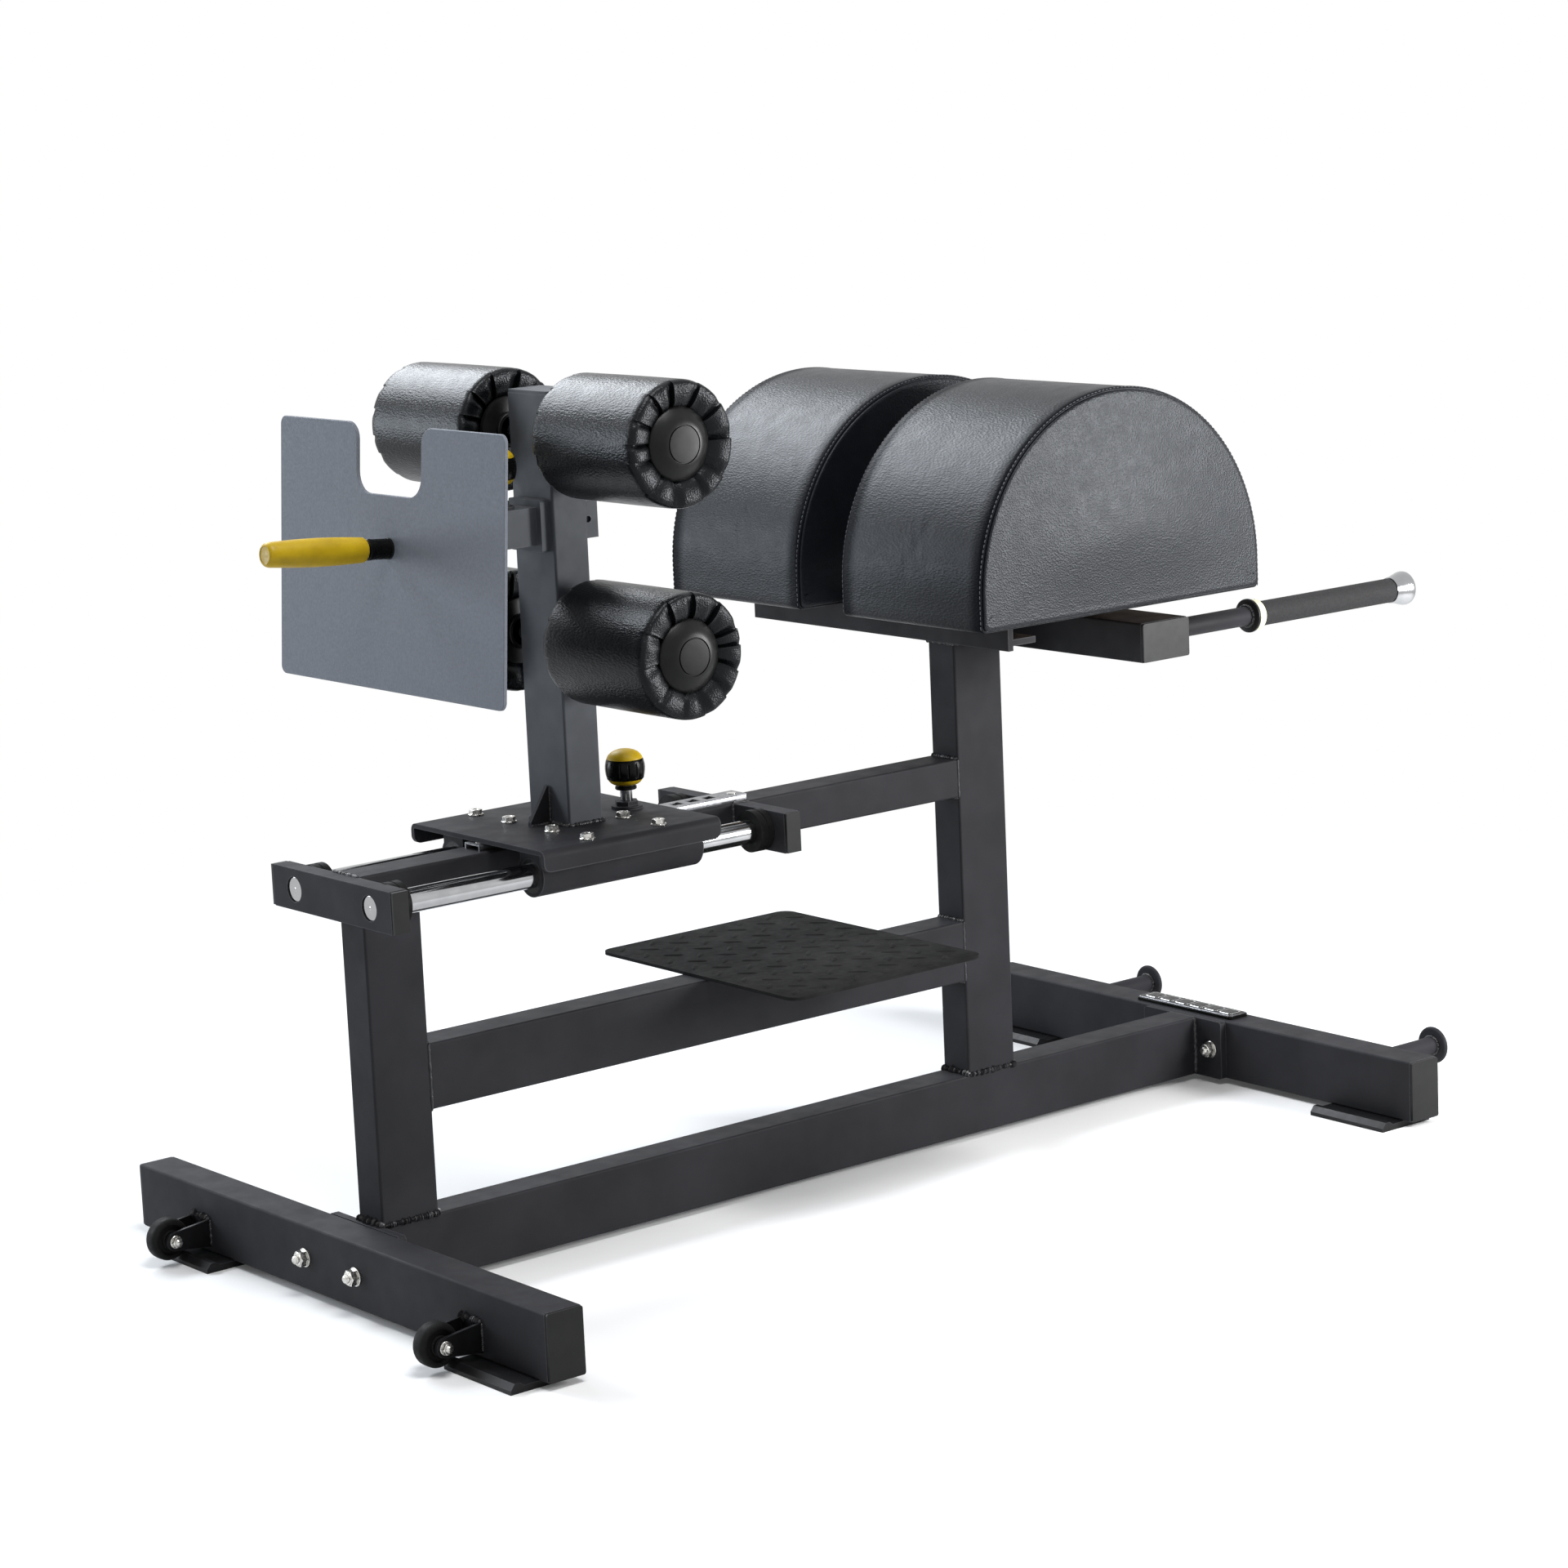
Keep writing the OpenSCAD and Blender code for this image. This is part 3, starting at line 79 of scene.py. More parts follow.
# %% Camera
YAW, PITCH, ROLL = 0.652, 0.1805, 0.049
EYE = (-2474.8, -3960.8, 1470.6)
SENSOR = 36
PICTURE, FOCAL, LENS_X, LENS_Y = 1920, 5055.9, 831.1, 930.5  # in pixels of the picture

look = Vector((math.sin(YAW) * math.cos(PITCH), math.cos(YAW) * math.cos(PITCH), -math.sin(PITCH)))
side = Vector((math.cos(YAW), -math.sin(YAW), 0.0))
down = look.cross(side)
side_rolled = math.cos(ROLL) * side + math.sin(ROLL) * down
down_rolled = -math.sin(ROLL) * side + math.cos(ROLL) * down
camera_data = bpy.data.cameras.new("camera")
camera = bpy.data.objects.new("camera", camera_data)
bpy.context.scene.collection.objects.link(camera)
turn = Matrix((side_rolled, -down_rolled, -look)).transposed().to_4x4()
camera.matrix_world = Matrix.Translation(at(*EYE)) @ turn
camera_data.lens = FOCAL * SENSOR / PICTURE
camera_data.sensor_width = SENSOR
camera_data.shift_x = (PICTURE / 2 - LENS_X) / PICTURE
camera_data.shift_y = (LENS_Y - PICTURE / 2) / PICTURE
camera_data.clip_end = 100
bpy.context.scene.camera = camera
print("camera at", tuple(round(v, 3) for v in camera.location), "lens", round(camera_data.lens, 2))

# %% [markdown]
# ## Floor, background and lamps
# Black steel and black vinyl have hardly any colour of their own: what we see on them is the studio. So the
# lamps are large soft boxes: one behind for the long glow over the rollers and the pads, one at the right
# for the ends of the pads, one at the left for the front faces, and one above for the tops. The floor and
# the world are white where the camera or a shiny surface looks at them, and the floor keeps the shadow.
#
# Every finish below is a tree of shader nodes. Each node could be wired by hand in the shader editor. Here
# one helper adds a node and fills its inputs with a number or with another node's output, so that a tree
# reads like a formula.

# %% World
WHITE = (1, 1, 1, 1)
scene = bpy.context.scene
scene.view_settings.view_transform = "Standard"
world = bpy.data.worlds.new("studio")
scene.world = world
world.use_nodes = True


def node(tree, kind, inputs=None, out=0, **settings):
    """Adds a shader node, fills or links its inputs, and returns one of its outputs."""
    new = tree.nodes.new("ShaderNode" + kind)
    for setting, value in settings.items():
        setattr(new, setting, value)
    for socket, value in (inputs or {}).items():
        if isinstance(value, bpy.types.NodeSocket):
            tree.links.new(value, new.inputs[socket])
        else:
            new.inputs[socket].default_value = value
    return new.outputs[out]


def maths(tree, operation, first, second=0.0):
    return node(tree, "Math", {0: first, 1: second}, operation=operation)


def seen_directly(tree):
    """1 where the camera, a reflection or a see-through ray looks, 0 for diffuse light."""
    ray = tree.nodes.new("ShaderNodeLightPath").outputs
    either = maths(tree, "MAXIMUM", ray["Is Camera Ray"], ray["Is Glossy Ray"])
    return maths(tree, "MAXIMUM", either, ray["Is Transmission Ray"])


tree = world.node_tree
ambient = tree.nodes["Background"]
ambient.inputs["Color"].default_value = (0.93, 0.96, 1.0, 1)
ambient.inputs["Strength"].default_value = 0.22
backdrop = node(tree, "Background", {"Color": WHITE, "Strength": 1.0})
light = node(tree, "MixShader", {0: seen_directly(tree), 1: ambient.outputs[0], 2: backdrop})
tree.links.new(light, tree.nodes["World Output"].inputs["Surface"])
print("world light", round(ambient.inputs["Strength"].default_value, 2))

# %% [markdown]
# ### The floor
# A plain grey floor would show its far edge as a line. So the floor is matt paint near the machine, where
# its shadow lies, and fades to pure white further out, where the camera or a reflection sees it.

# %% Floor
FLOOR_REACH = 9.0
FLOOR_PAINT = (0.9, 0.9, 0.9, 1)
FADE_FROM, FADE_TO = 1.0, 2.4  # metres from the middle

corners = [(x * FLOOR_REACH, y * FLOOR_REACH, 0) for x, y in ((-1, -1), (1, -1), (1, 1), (-1, 1))]
floor_mesh = bpy.data.meshes.new("floor")
floor_mesh.from_pydata(corners, [], [(0, 1, 2, 3)])
floor = bpy.data.objects.new("floor", floor_mesh)
scene.collection.objects.link(floor)
floor_finish = bpy.data.materials.new("white_floor")
floor_finish.use_nodes = True
tree = floor_finish.node_tree
tree.nodes.remove(tree.nodes["Principled BSDF"])
paint = node(tree, "BsdfDiffuse", {"Color": FLOOR_PAINT})
glow = node(tree, "Emission", {"Color": WHITE, "Strength": 1.0})
from_middle = node(tree, "VectorMath", {0: node(tree, "TexCoord", out="Object")}, "Value", operation="LENGTH")
ends = {"From Min": FADE_FROM, "From Max": FADE_TO, "To Min": 0.05, "To Max": 1.0}
fade = node(tree, "MapRange", {"Value": from_middle, **ends}, "Result", interpolation_type="SMOOTHSTEP")
share = maths(tree, "MULTIPLY", seen_directly(tree), fade)
surface = node(tree, "MixShader", {0: share, 1: paint, 2: glow})
tree.links.new(surface, tree.nodes["Material Output"].inputs["Surface"])
floor_mesh.materials.append(floor_finish)
print("floor", 2 * FLOOR_REACH, "m across")


# %% Soft boxes
def soft_box(name, place, aim, wide, tall, watts, colour=(1, 1, 1)):
    """A rectangular lamp at place that looks at aim, both in scene metres."""
    data = bpy.data.lights.new(name, "AREA")
    data.color = colour
    data.shape = "RECTANGLE"
    data.size = wide
    data.size_y = tall
    data.energy = watts
    lamp = bpy.data.objects.new(name, data)
    scene.collection.objects.link(lamp)
    lamp.location = place
    lamp.rotation_euler = (Vector(aim) - Vector(place)).to_track_quat("-Z", "Y").to_euler()
    lamp.visible_camera = False
    print(name, "radiance", round(watts / (wide * tall * math.pi), 2))


soft_box("soft_box_behind", (-0.25, 3.8, 3.6), (0.35, 0.0, 0.95), 3.75, 1.5, 232, (0.9, 0.945, 1.0))
soft_box("soft_box_right", (1.3, -1.6, 0.88), (0.85, -0.2, 0.82), 0.6, 0.7, 54)
soft_box("soft_box_left", (-2.5, 3.0, 1.05), (-0.3, 0.0, 0.75), 1.1, 1.3, 50, (0.84, 0.92, 1.0))
soft_box("soft_box_above", (-0.5, -1.0, 3.1), (0.1, 0.0, 0.7), 1.3, 1.3, 66)

# %% [markdown]
# ## Finishes
# A finish is made of layers, as the real one is: a colour with slight mottling, a gloss that is not even,
# a fine relief, and on coated steel a lighter line on the edges, partly where the coat is thin and partly a
# painted highlight. A photographed texture would need unwrapping and would repeat. Noise in the piece's own
# space needs neither, and its sizes are millimetres of the real surface, so the grain stays right on every
# piece.


# %% An even finish and a texture
def shader_of(finish):
    """The one shader node that every finish has."""
    return finish.node_tree.nodes["Principled BSDF"]


def feed(finish, value, socket):
    """Lets a texture drive one socket of the shader."""
    finish.node_tree.links.new(value, shader_of(finish).inputs[socket])


def new_finish(name, colour, roughness, metallic=0.0, specular=0.5):
    """An even finish, the ground that the layers go on."""
    finish = bpy.data.materials.new(name)
    finish.use_nodes = True
    sockets = {"Base Color": (*colour, 1), "Roughness": roughness, "Metallic": metallic,
               "Specular IOR Level": specular}
    for socket, value in sockets.items():
        shader_of(finish).inputs[socket].default_value = value
    finish.diffuse_color = (*colour, 1)
    return finish


def texture_value(finish, size, detail=3.0, stretch=(1, 1, 1), cells=False):
    """A texture whose features are about size mm across: soft noise, or round cells."""
    tree = finish.node_tree
    own_space = node(tree, "TexCoord", out="Object")
    place = node(tree, "Mapping", {"Vector": own_space, "Scale": stretch}, "Vector")
    inputs = {"Vector": place, "Scale": 1000.0 / size}
    if cells:
        return node(tree, "TexVoronoi", inputs, "Distance", feature="F1")
    return node(tree, "TexNoise", {**inputs, "Detail": detail}, "Fac")


print("ready: an even finish and a texture")


# %% Layers of a finish
def mottle(finish, dark, light, size):
    """Lets the colour wander between two shades."""
    ramp = finish.node_tree.nodes.new("ShaderNodeValToRGB")
    for stop, where, shade in zip(ramp.color_ramp.elements, (0.35, 0.65), (dark, light)):
        stop.position, stop.color = where, (*shade, 1)
    finish.node_tree.links.new(texture_value(finish, size), ramp.inputs["Fac"])
    feed(finish, ramp.outputs["Color"], "Base Color")


def uneven_gloss(finish, low, high, size):
    """Lets the roughness wander between two values."""
    inputs = {"Value": texture_value(finish, size), "From Min": 0.3, "From Max": 0.7,
              "To Min": low, "To Max": high}
    feed(finish, node(finish.node_tree, "MapRange", inputs, "Result"), "Roughness")


def relief(finish, size, height, strength, *texture):
    """Adds one layer of bumps, height mm high, on top of the layers before it."""
    bumps = texture_value(finish, size, *texture)
    inputs = {"Height": bumps, "Distance": height / 1000, "Strength": strength}
    before = shader_of(finish).inputs["Normal"].links
    if before:
        inputs["Normal"] = before[0].from_socket
    feed(finish, node(finish.node_tree, "Bump", inputs, "Normal"), "Normal")


def worn_and_highlit_edges(finish, reach, light):
    """Makes the colour lighter on edges, within reach mm of them: partly wear, partly a painted highlight."""
    tree = finish.node_tree
    rounded = node(tree, "Bevel", {"Radius": reach / 1000}, "Normal", samples=4)
    sharp = node(tree, "NewGeometry", out="Normal")
    alike = node(tree, "VectorMath", {0: rounded, 1: sharp}, "Value", operation="DOT_PRODUCT")
    # The lighter colour on the edges is partly a thinner coat and partly a painted highlight.
    edge = node(tree, "MapRange", {"Value": alike, "From Min": 0.985, "From Max": 0.9}, "Result")
    plain = shader_of(finish).inputs["Base Color"].links[0].from_socket
    two_colours = {"Factor": edge, 6: plain, 7: (*light, 1)}
    feed(finish, node(tree, "Mix", two_colours, 2, data_type="RGBA"), "Base Color")


def layered(name, colour, shades, gloss, bumps, edge_wear_and_highlight=None, **shine):
    """A whole finish. shades is dark, light and the size of the patches. gloss is the lowest and the highest
    roughness and the size, or one roughness. Each bump is size, height, strength, detail and stretch.
    edge_wear_and_highlight is the reach and the colour of the lighter edges, partly wear, partly painted
    highlight."""
    wanders = isinstance(gloss, tuple)
    finish = new_finish(name, colour, gloss[0] if wanders else gloss, **shine)
    mottle(finish, *shades)
    if wanders:
        uneven_gloss(finish, *gloss)
    for bump in bumps:
        relief(finish, *bump)
    if edge_wear_and_highlight:
        worn_and_highlit_edges(finish, *edge_wear_and_highlight)
    return finish


# The lighter edges are partly wear and partly a painted highlight.
print("layers: mottle, uneven gloss, relief, worn edges")

# %% [markdown]
# ### Coated steel
# Powder coat is sprayed plastic powder that melts in the oven: nearly black, satin, with a very fine orange
# peel. The foot plate has a lighter grey of its own. The post, its cap, the sleeve and the foot plate's arm
# get a lighter copy of the powder coat, which is painted light. The feet and forks have a smoother black, and
# the weld beads shine a little more because the coat runs thick on them.

# %% Coats
powder = layered(
    "powder_coat", (0.023, 0.023, 0.026), ((0.02, 0.02, 0.0225), (0.026, 0.026, 0.0295), 90), (0.5, 0.62, 30),
    [(1.6, 0.14, 0.5, 2), (0.6, 0.05, 0.3, 1)], (2.2, (0.075, 0.076, 0.082)), specular=0.08)
# A lighter copy of the powder coat: painted light on the post, its cap, the sleeve and the arm.
post_coat_painted_light = layered(
    "post_coat_painted_light", (0.073, 0.078, 0.087), ((0.066, 0.07, 0.078), (0.08, 0.086, 0.096), 50), (0.44, 0.56, 20),
    [(1.2, 0.12, 0.5, 2)], (1.8, (0.12, 0.123, 0.13)), specular=0.1)
weld_coat = layered(
    "weld_coat", (0.026, 0.026, 0.028), ((0.018, 0.018, 0.02), (0.036, 0.036, 0.039), 4), (0.28, 0.42, 4),
    [(2.2, 0.4, 0.6)], specular=0.4)
satin_black = layered(
    "satin_black", (0.006, 0.006, 0.0065), ((0.005, 0.005, 0.0055), (0.008, 0.008, 0.009), 30), (0.32, 0.42, 8),
    [(1.2, 0.1, 0.4, 2)], (1.5, (0.03, 0.03, 0.033)), specular=0.2)
plate_coat = layered(
    "foot_plate_coat", (0.136, 0.149, 0.175), ((0.125, 0.138, 0.162), (0.147, 0.161, 0.189), 3), (0.5, 0.6, 4),
    [(1.2, 0.12, 0.5, 2)], (1.2, (0.17, 0.185, 0.21)), specular=0.15)
tread = layered(
    "worn_tread", (0.016, 0.016, 0.016), ((0.013, 0.013, 0.013), (0.02, 0.02, 0.02), 30), (0.68, 0.82, 10),
    [(1.3, 0.15, 0.6)], specular=0.03)
print("coats", powder.name, post_coat_painted_light.name, weld_coat.name, satin_black.name, plate_coat.name, tread.name)

# %% [markdown]
# ### Bare metal
# Zinc on the bolts is bright and a little cloudy, the galvanised strip is greyer, and the ground guide rods
# show fine rings round them from the grinding wheel. The rings are the same noise, squeezed along the rod.

# %% Metals
zinc = layered(
    "zinc_plate", (0.62, 0.61, 0.58), ((0.5, 0.49, 0.46), (0.72, 0.71, 0.68), 4), (0.18, 0.38, 3),
    [(0.9, 0.05, 0.3, 2)], metallic=1.0)
galvanised = layered(
    "galvanised_steel", (0.2, 0.203, 0.213), ((0.165, 0.168, 0.176), (0.24, 0.243, 0.255), 6), (0.3, 0.46, 4),
    [(2.0, 0.1, 0.3)], metallic=1.0)
bright = layered(
    "bright_steel", (0.4, 0.405, 0.415), ((0.38, 0.385, 0.395), (0.42, 0.425, 0.435), 20), (0.1, 0.15, 20),
    [(1.2, 0.01, 0.1, 2, (6, 0.4, 0.4))], metallic=1.0)
print("metals", zinc.name, galvanised.name, bright.name)

# %% [markdown]
# ### Rubber, plastic and board
# Rubber is dull and moulded plastic smoother. The foam grips are cut from an extruded tube, so their pores
# run along it. The boards under the pads show the long grain of birch.

# %% Rubber, plastic and board
rubber = layered(
    "black_rubber", (0.006, 0.006, 0.006), ((0.005, 0.005, 0.005), (0.009, 0.009, 0.009), 20), (0.5, 0.7, 6),
    [(1.2, 0.12, 0.5)], specular=0.1)
foam_grip = layered(
    "foam_grip", (0.024, 0.024, 0.025), ((0.02, 0.02, 0.021), (0.03, 0.03, 0.031), 1.2), (0.7, 0.9, 4),
    [(0.7, 0.12, 0.7, 2, (0.12, 1, 1))], specular=0.15)
plastic = layered(
    "black_plastic", (0.0065, 0.0065, 0.007), ((0.0058, 0.0058, 0.0062), (0.0085, 0.0085, 0.009), 30),
    (0.4, 0.48, 8), [(0.7, 0.05, 0.35, 2)], specular=0.22)
cap_plastic = layered(
    "moulded_cap", (0.006, 0.006, 0.0062), ((0.005, 0.005, 0.0052), (0.008, 0.008, 0.0084), 20), (0.3, 0.36, 6),
    [(0.9, 0.08, 0.4, 2)], specular=0.16)
gloss_black = layered(
    "polished_black", (0.003, 0.003, 0.003), ((0.0025, 0.0025, 0.0025), (0.004, 0.004, 0.004), 20),
    (0.2, 0.34, 6), [(0.9, 0.04, 0.3, 2)], specular=0.1)
cream = layered(
    "cream_plastic", (0.62, 0.6, 0.42), ((0.56, 0.54, 0.37), (0.68, 0.66, 0.47), 10), (0.32, 0.5, 6),
    [(1.0, 0.04, 0.3)])
yellow = layered(
    "yellow_plastic", (0.44, 0.29, 0.004), ((0.4, 0.262, 0.0035), (0.48, 0.32, 0.005), 20), (0.36, 0.52, 6),
    [(1.1, 0.06, 0.4, 2)], specular=0.25)
board = layered(
    "birch_board", (0.24, 0.15, 0.075), ((0.17, 0.1, 0.05), (0.31, 0.2, 0.11), 12), 0.75,
    [(2.0, 0.2, 0.5, 4, (0.15, 1, 1))])
moulded = (rubber, foam_grip, plastic, cap_plastic, gloss_black, cream, yellow, board)
print("rubber, plastic and board:", ", ".join(finish.name for finish in moulded))

# %% [markdown]
# ### Black vinyl
# The pads and rollers are covered in artificial leather: black with a cold sheen. It is embossed with a
# pebble grain of about two millimetres, and the foam under it makes the surface wander slowly, which breaks
# up the long highlights. Round cells make better pebbles than noise does. The rollers' vinyl is blacker than
# the pads', as painted shade. The thread beside the pads' seams is a lighter grey, as painted highlight.

# %% Vinyl
GRAIN = 2.1
PAD_SHINE, ROLLER_SHINE = 0.2, 0.18


def make_vinyl(name, light, dark, low_gloss, specular):
    """A grained vinyl. The rollers' copy is smoother, and blacker as painted shade."""
    wander = [(60, 1.2, 0.3, 1), (9, 0.2, 0.35, 2)]
    grain = [(GRAIN, 0.4, 0.75, 3, (1, 0.45, 1), True), (0.6, 0.1, 0.5, 2)]
    gloss = (low_gloss, low_gloss + 0.06, 20)
    finish = layered(name, light, (dark, light, 50), gloss, wander + grain, specular=specular)
    shader_of(finish).inputs["Specular Tint"].default_value = (0.9, 0.94, 1.0, 1)
    return finish


vinyl = make_vinyl("black_vinyl", (0.0048, 0.0056, 0.0076), (0.0036, 0.0042, 0.0057), 0.37, PAD_SHINE)
# The rollers' vinyl is smoother and darker than the pads': the darker colour is painted shade.
roller_vinyl = make_vinyl("polished_vinyl", (0.0024, 0.0028, 0.0035), (0.0018, 0.0021, 0.0026), 0.31,
                          ROLLER_SHINE)
# The thread is a lighter grey: painted highlight on the stitches.
thread = layered("sewing_thread", (0.09, 0.092, 0.1), ((0.07, 0.072, 0.08), (0.11, 0.113, 0.122), 2), 0.6,
                 [(0.4, 0.1, 0.6)], specular=0.2)
print("vinyl grain", GRAIN, "mm")

# %% [markdown]
# ### Which CAD piece gets which finish
# The CAD model already says what each piece is made of. The loop below gives every carried over solid the
# finish of its material slot, so nothing is left with a plain colour. A few pieces have one of their own.

# %% Finish by material slot
FINISH = {
    "powder_coat": powder, "foot_plate_coat": plate_coat, "zinc_fasteners": zinc, "galvanised": galvanised,
    "bright_rod": bright, "black_rubber": rubber, "black_plastic": plastic, "cream_trim": cream,
    "yellow_plastic": yellow, "board": board, "black_leatherette": vinyl,
}
OWN_FINISH = {
    "end_caps": plastic, "step_plate": tread, "feet": satin_black, "wheel_forks": satin_black,
    # The post, its cap, the sleeve and the foot plate's arm take the lighter copy of the powder coat, which is
    # painted light.
    "roller_post": post_coat_painted_light, "post_cap": post_coat_painted_light, "arm_sleeve": post_coat_painted_light, "foot_plate_arm": post_coat_painted_light,
}
slot_of = {part["node"]: part["material_slot"] for part in frame["record"]["subparts"]}
for name, solid in frame["nodes"].items():
    solid.data.materials.clear()
    solid.data.materials.append(OWN_FINISH.get(name, FINISH[slot_of[name]]))
print("finished", len(frame["nodes"]), "solids,", len(OWN_FINISH), "of them with a finish of their own")

# %% [markdown]
# ## Building pieces as meshes
# Most small pieces are turned or moulded. They could be drawn by hand or with modifiers, but a profile in
# figures is easier to check against the real piece. One helper makes a mesh from points in machine
# millimetres and lets it ride on its CAD body. Another turns a profile, a list of radius and height, round
# an axis as a lathe does. Nearly every mesh is a stack of rings, so one helper makes the faces of all.

# %% Mesh helpers
FORWARD, BACKWARD, UP = Vector((-1, 0, 0)), Vector((1, 0, 0)), Vector((0, 0, 1))
RIGHTWARD, LEFTWARD = Vector((0, -1, 0)), Vector((0, 1, 0))


def make_piece(name, points, faces, finish, body, slot, sharp=35, replaces=()):
    """A mesh from points in machine millimetres. It rides on a CAD body and may stand for CAD nodes. Edges
    sharper than sharp degrees stay crisp, and the rest is shaded smooth."""
    mesh = bpy.data.meshes.new(name)
    mesh.from_pydata([at(*p) for p in points], [], faces)
    mesh.validate()
    mesh.update()
    mesh.polygons.foreach_set("use_smooth", [True] * len(mesh.polygons))
    mesh.set_sharp_from_angle(angle=math.radians(sharp))
    mesh.materials.append(finish)
    piece = bpy.data.objects.new(name, mesh)
    scene.collection.objects.link(piece)
    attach(piece, body)
    if replaces:
        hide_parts(*replaces)
    return piece


def across(axis):
    """An axis made one long, and two directions square to it."""
    axis = Vector(axis).normalized()
    first = UP if abs(axis.z) < 0.9 else BACKWARD
    u = axis.cross(first).normalized()
    return axis, u, axis.cross(u)


def band(low, high):
    """The faces from one ring of points to the next, all the way round."""
    count = len(low)
    return [(low[k], low[(k + 1) % count], high[(k + 1) % count], high[k]) for k in range(count)]


def bands(levels, count):
    """The faces of a stack of rings with count points each."""
    rings = [range(level * count, (level + 1) * count) for level in range(levels)]
    return [face for low, high in zip(rings, rings[1:]) for face in band(low, high)]


def turned(profile, foot, axis, steps=48, shape=None):
    """Points and faces of a profile [(radius, height)] turned round an axis through foot.
    shape(angle, radius, height) may move a point."""
    axis, u, v = across(axis)
    foot = Vector(foot)
    points, faces, rings = [], [], []
    for radius, height in profile:
        if radius < 1e-6:
            rings.append([len(points)])
            points.append(foot + axis * height)
            continue
        rings.append(range(len(points), len(points) + steps))
        for k in range(steps):
            angle = 2 * math.pi * k / steps
            r, h = shape(angle, radius, height) if shape else (radius, height)
            points.append(foot + axis * h + (u * math.cos(angle) + v * math.sin(angle)) * r)
    for low, high in zip(rings, rings[1:]):
        if len(low) == 1 and len(high) > 1:
            faces += [(low[0], high[(k + 1) % steps], high[k]) for k in range(steps)]
        elif len(high) == 1 and len(low) > 1:
            faces += [(low[k], low[(k + 1) % steps], high[0]) for k in range(steps)]
        elif len(low) > 1:
            faces += band(low, high)
    return points, faces


def together(*parts):
    """Joins several (points, faces) into one."""
    points, faces = [], []
    for some_points, some_faces in parts:
        start = len(points)
        points += list(some_points)
        faces += [tuple(start + i for i in face) for face in some_faces]
    return points, faces


def moved(foot, axis, far):
    """A place far mm along an axis from foot."""
    return Vector(foot) + Vector(axis).normalized() * far


print("mesh helpers ready")

# %% [markdown]
# ## Nuts, bolts and washers
# A plain hexagon is too clean: the real head has its corners turned off by a cone, a washer with a rolled
# edge under it, and a stud whose thread catches the light. The chamfer is a height that drops where the
# hexagon reaches beyond a circle, and the thread is a lathe profile whose radius follows the turn angle.


# %% Bolt shapes
def hexagon(wide, tall, foot, axis, dish=0.6):
    """A hexagon head or nut, wide across its flats."""
    flat = wide / 2
    corner = flat / math.cos(math.pi / 6)

    def shape(angle, radius, height):
        reach = flat / math.cos((angle % (math.pi / 3)) - math.pi / 6)
        if radius > flat:
            drop = max(0.0, reach - flat * 1.01) * 0.6
            return reach, (height - drop if height > tall / 2 else height + drop * 0.5)
        return radius, height

    profile = [(0.0, 0.0), (flat * 0.9, 0.0), (corner, 0.15), (corner, tall * 0.5), (corner, tall - 0.1),
               (flat * 0.97, tall), (flat * 0.55, tall), (flat * 0.45, tall - dish), (0.0, tall - dish)]
    return turned(profile, foot, axis, 48, shape)


def washer(wide, thick, foot, axis):
    """A washer with a rolled edge, closed in the middle, where the bolt hides it."""
    r = wide / 2
    profile = [(0.0, 0.0), (r - 0.3, 0.0), (r, 0.3), (r, thick - 0.4), (r - 0.4, thick), (0.0, thick)]
    return turned(profile, foot, axis, 40)


def stud(wide, tall, foot, axis, pitch=1.5):
    """A threaded end with a rounded tip."""
    r = wide / 2
    rows = max(4, int(tall / pitch * 4))
    profile = [(r, tall * i / rows) for i in range(rows + 1)] + [(r * 0.7, tall + 0.9), (0.0, tall + 1.2)]

    def shape(angle, radius, height):
        if height > tall:
            return radius, height
        wave = abs(((height / pitch - angle / (2 * math.pi)) % 1.0) - 0.5) * 2
        return radius - 0.75 * wave * min(1, (tall + 0.6 - height) / pitch + 0.3), height

    return turned(profile, foot, axis, 24, shape)


print("bolt shapes: head, washer, stud")

# %% [markdown]
# ### Bolts of the base and the carriage
# Four bolts clamp the base beam's flanges to the two cross bars, each with its nut on the side that looks
# forward. Eight smaller ones hold the carriage plate down on its bearing housings. Each is put together from
# the shapes above, and the bolts of one kind stay one piece, because the CAD model has them as one.

# %% Bolts
FRONT_BAR, REAR_BAR = (0.0, 60.0), (1393.0, 1453.0)
BASE_BOLT_Y, BASE_BOLT_Z = 54, 40
CARRIAGE_TOP = 514.5
CARRIAGE_BOLT_X, CARRIAGE_BOLT_Y = (321, 427), (-114, -44, 44, 114)
WASHER, CARRIAGE_WASHER = 2, 1.6
NUT_TALL, HEAD_TALL = 8.6, 6.4

base_bolts = []
for s in (-1, 1):
    for front, back in (FRONT_BAR, REAR_BAR):
        start, end = (front, s * BASE_BOLT_Y, BASE_BOLT_Z), (back, s * BASE_BOLT_Y, BASE_BOLT_Z)
        base_bolts += [washer(23, WASHER, start, FORWARD),
                       hexagon(17.5, NUT_TALL, moved(start, FORWARD, WASHER), FORWARD),
                       turned([(8.2, 0), (7.6, 1.4), (5.2, 1.9)], moved(start, FORWARD, WASHER + NUT_TALL),
                              FORWARD, 32),
                       stud(10, 6, moved(start, FORWARD, 10), FORWARD),
                       hexagon(17.5, HEAD_TALL, end, BACKWARD)]
make_piece("base_bolts_detail", *together(*base_bolts), zinc, "frame", "zinc_fasteners",
           replaces=["base_bolts"])

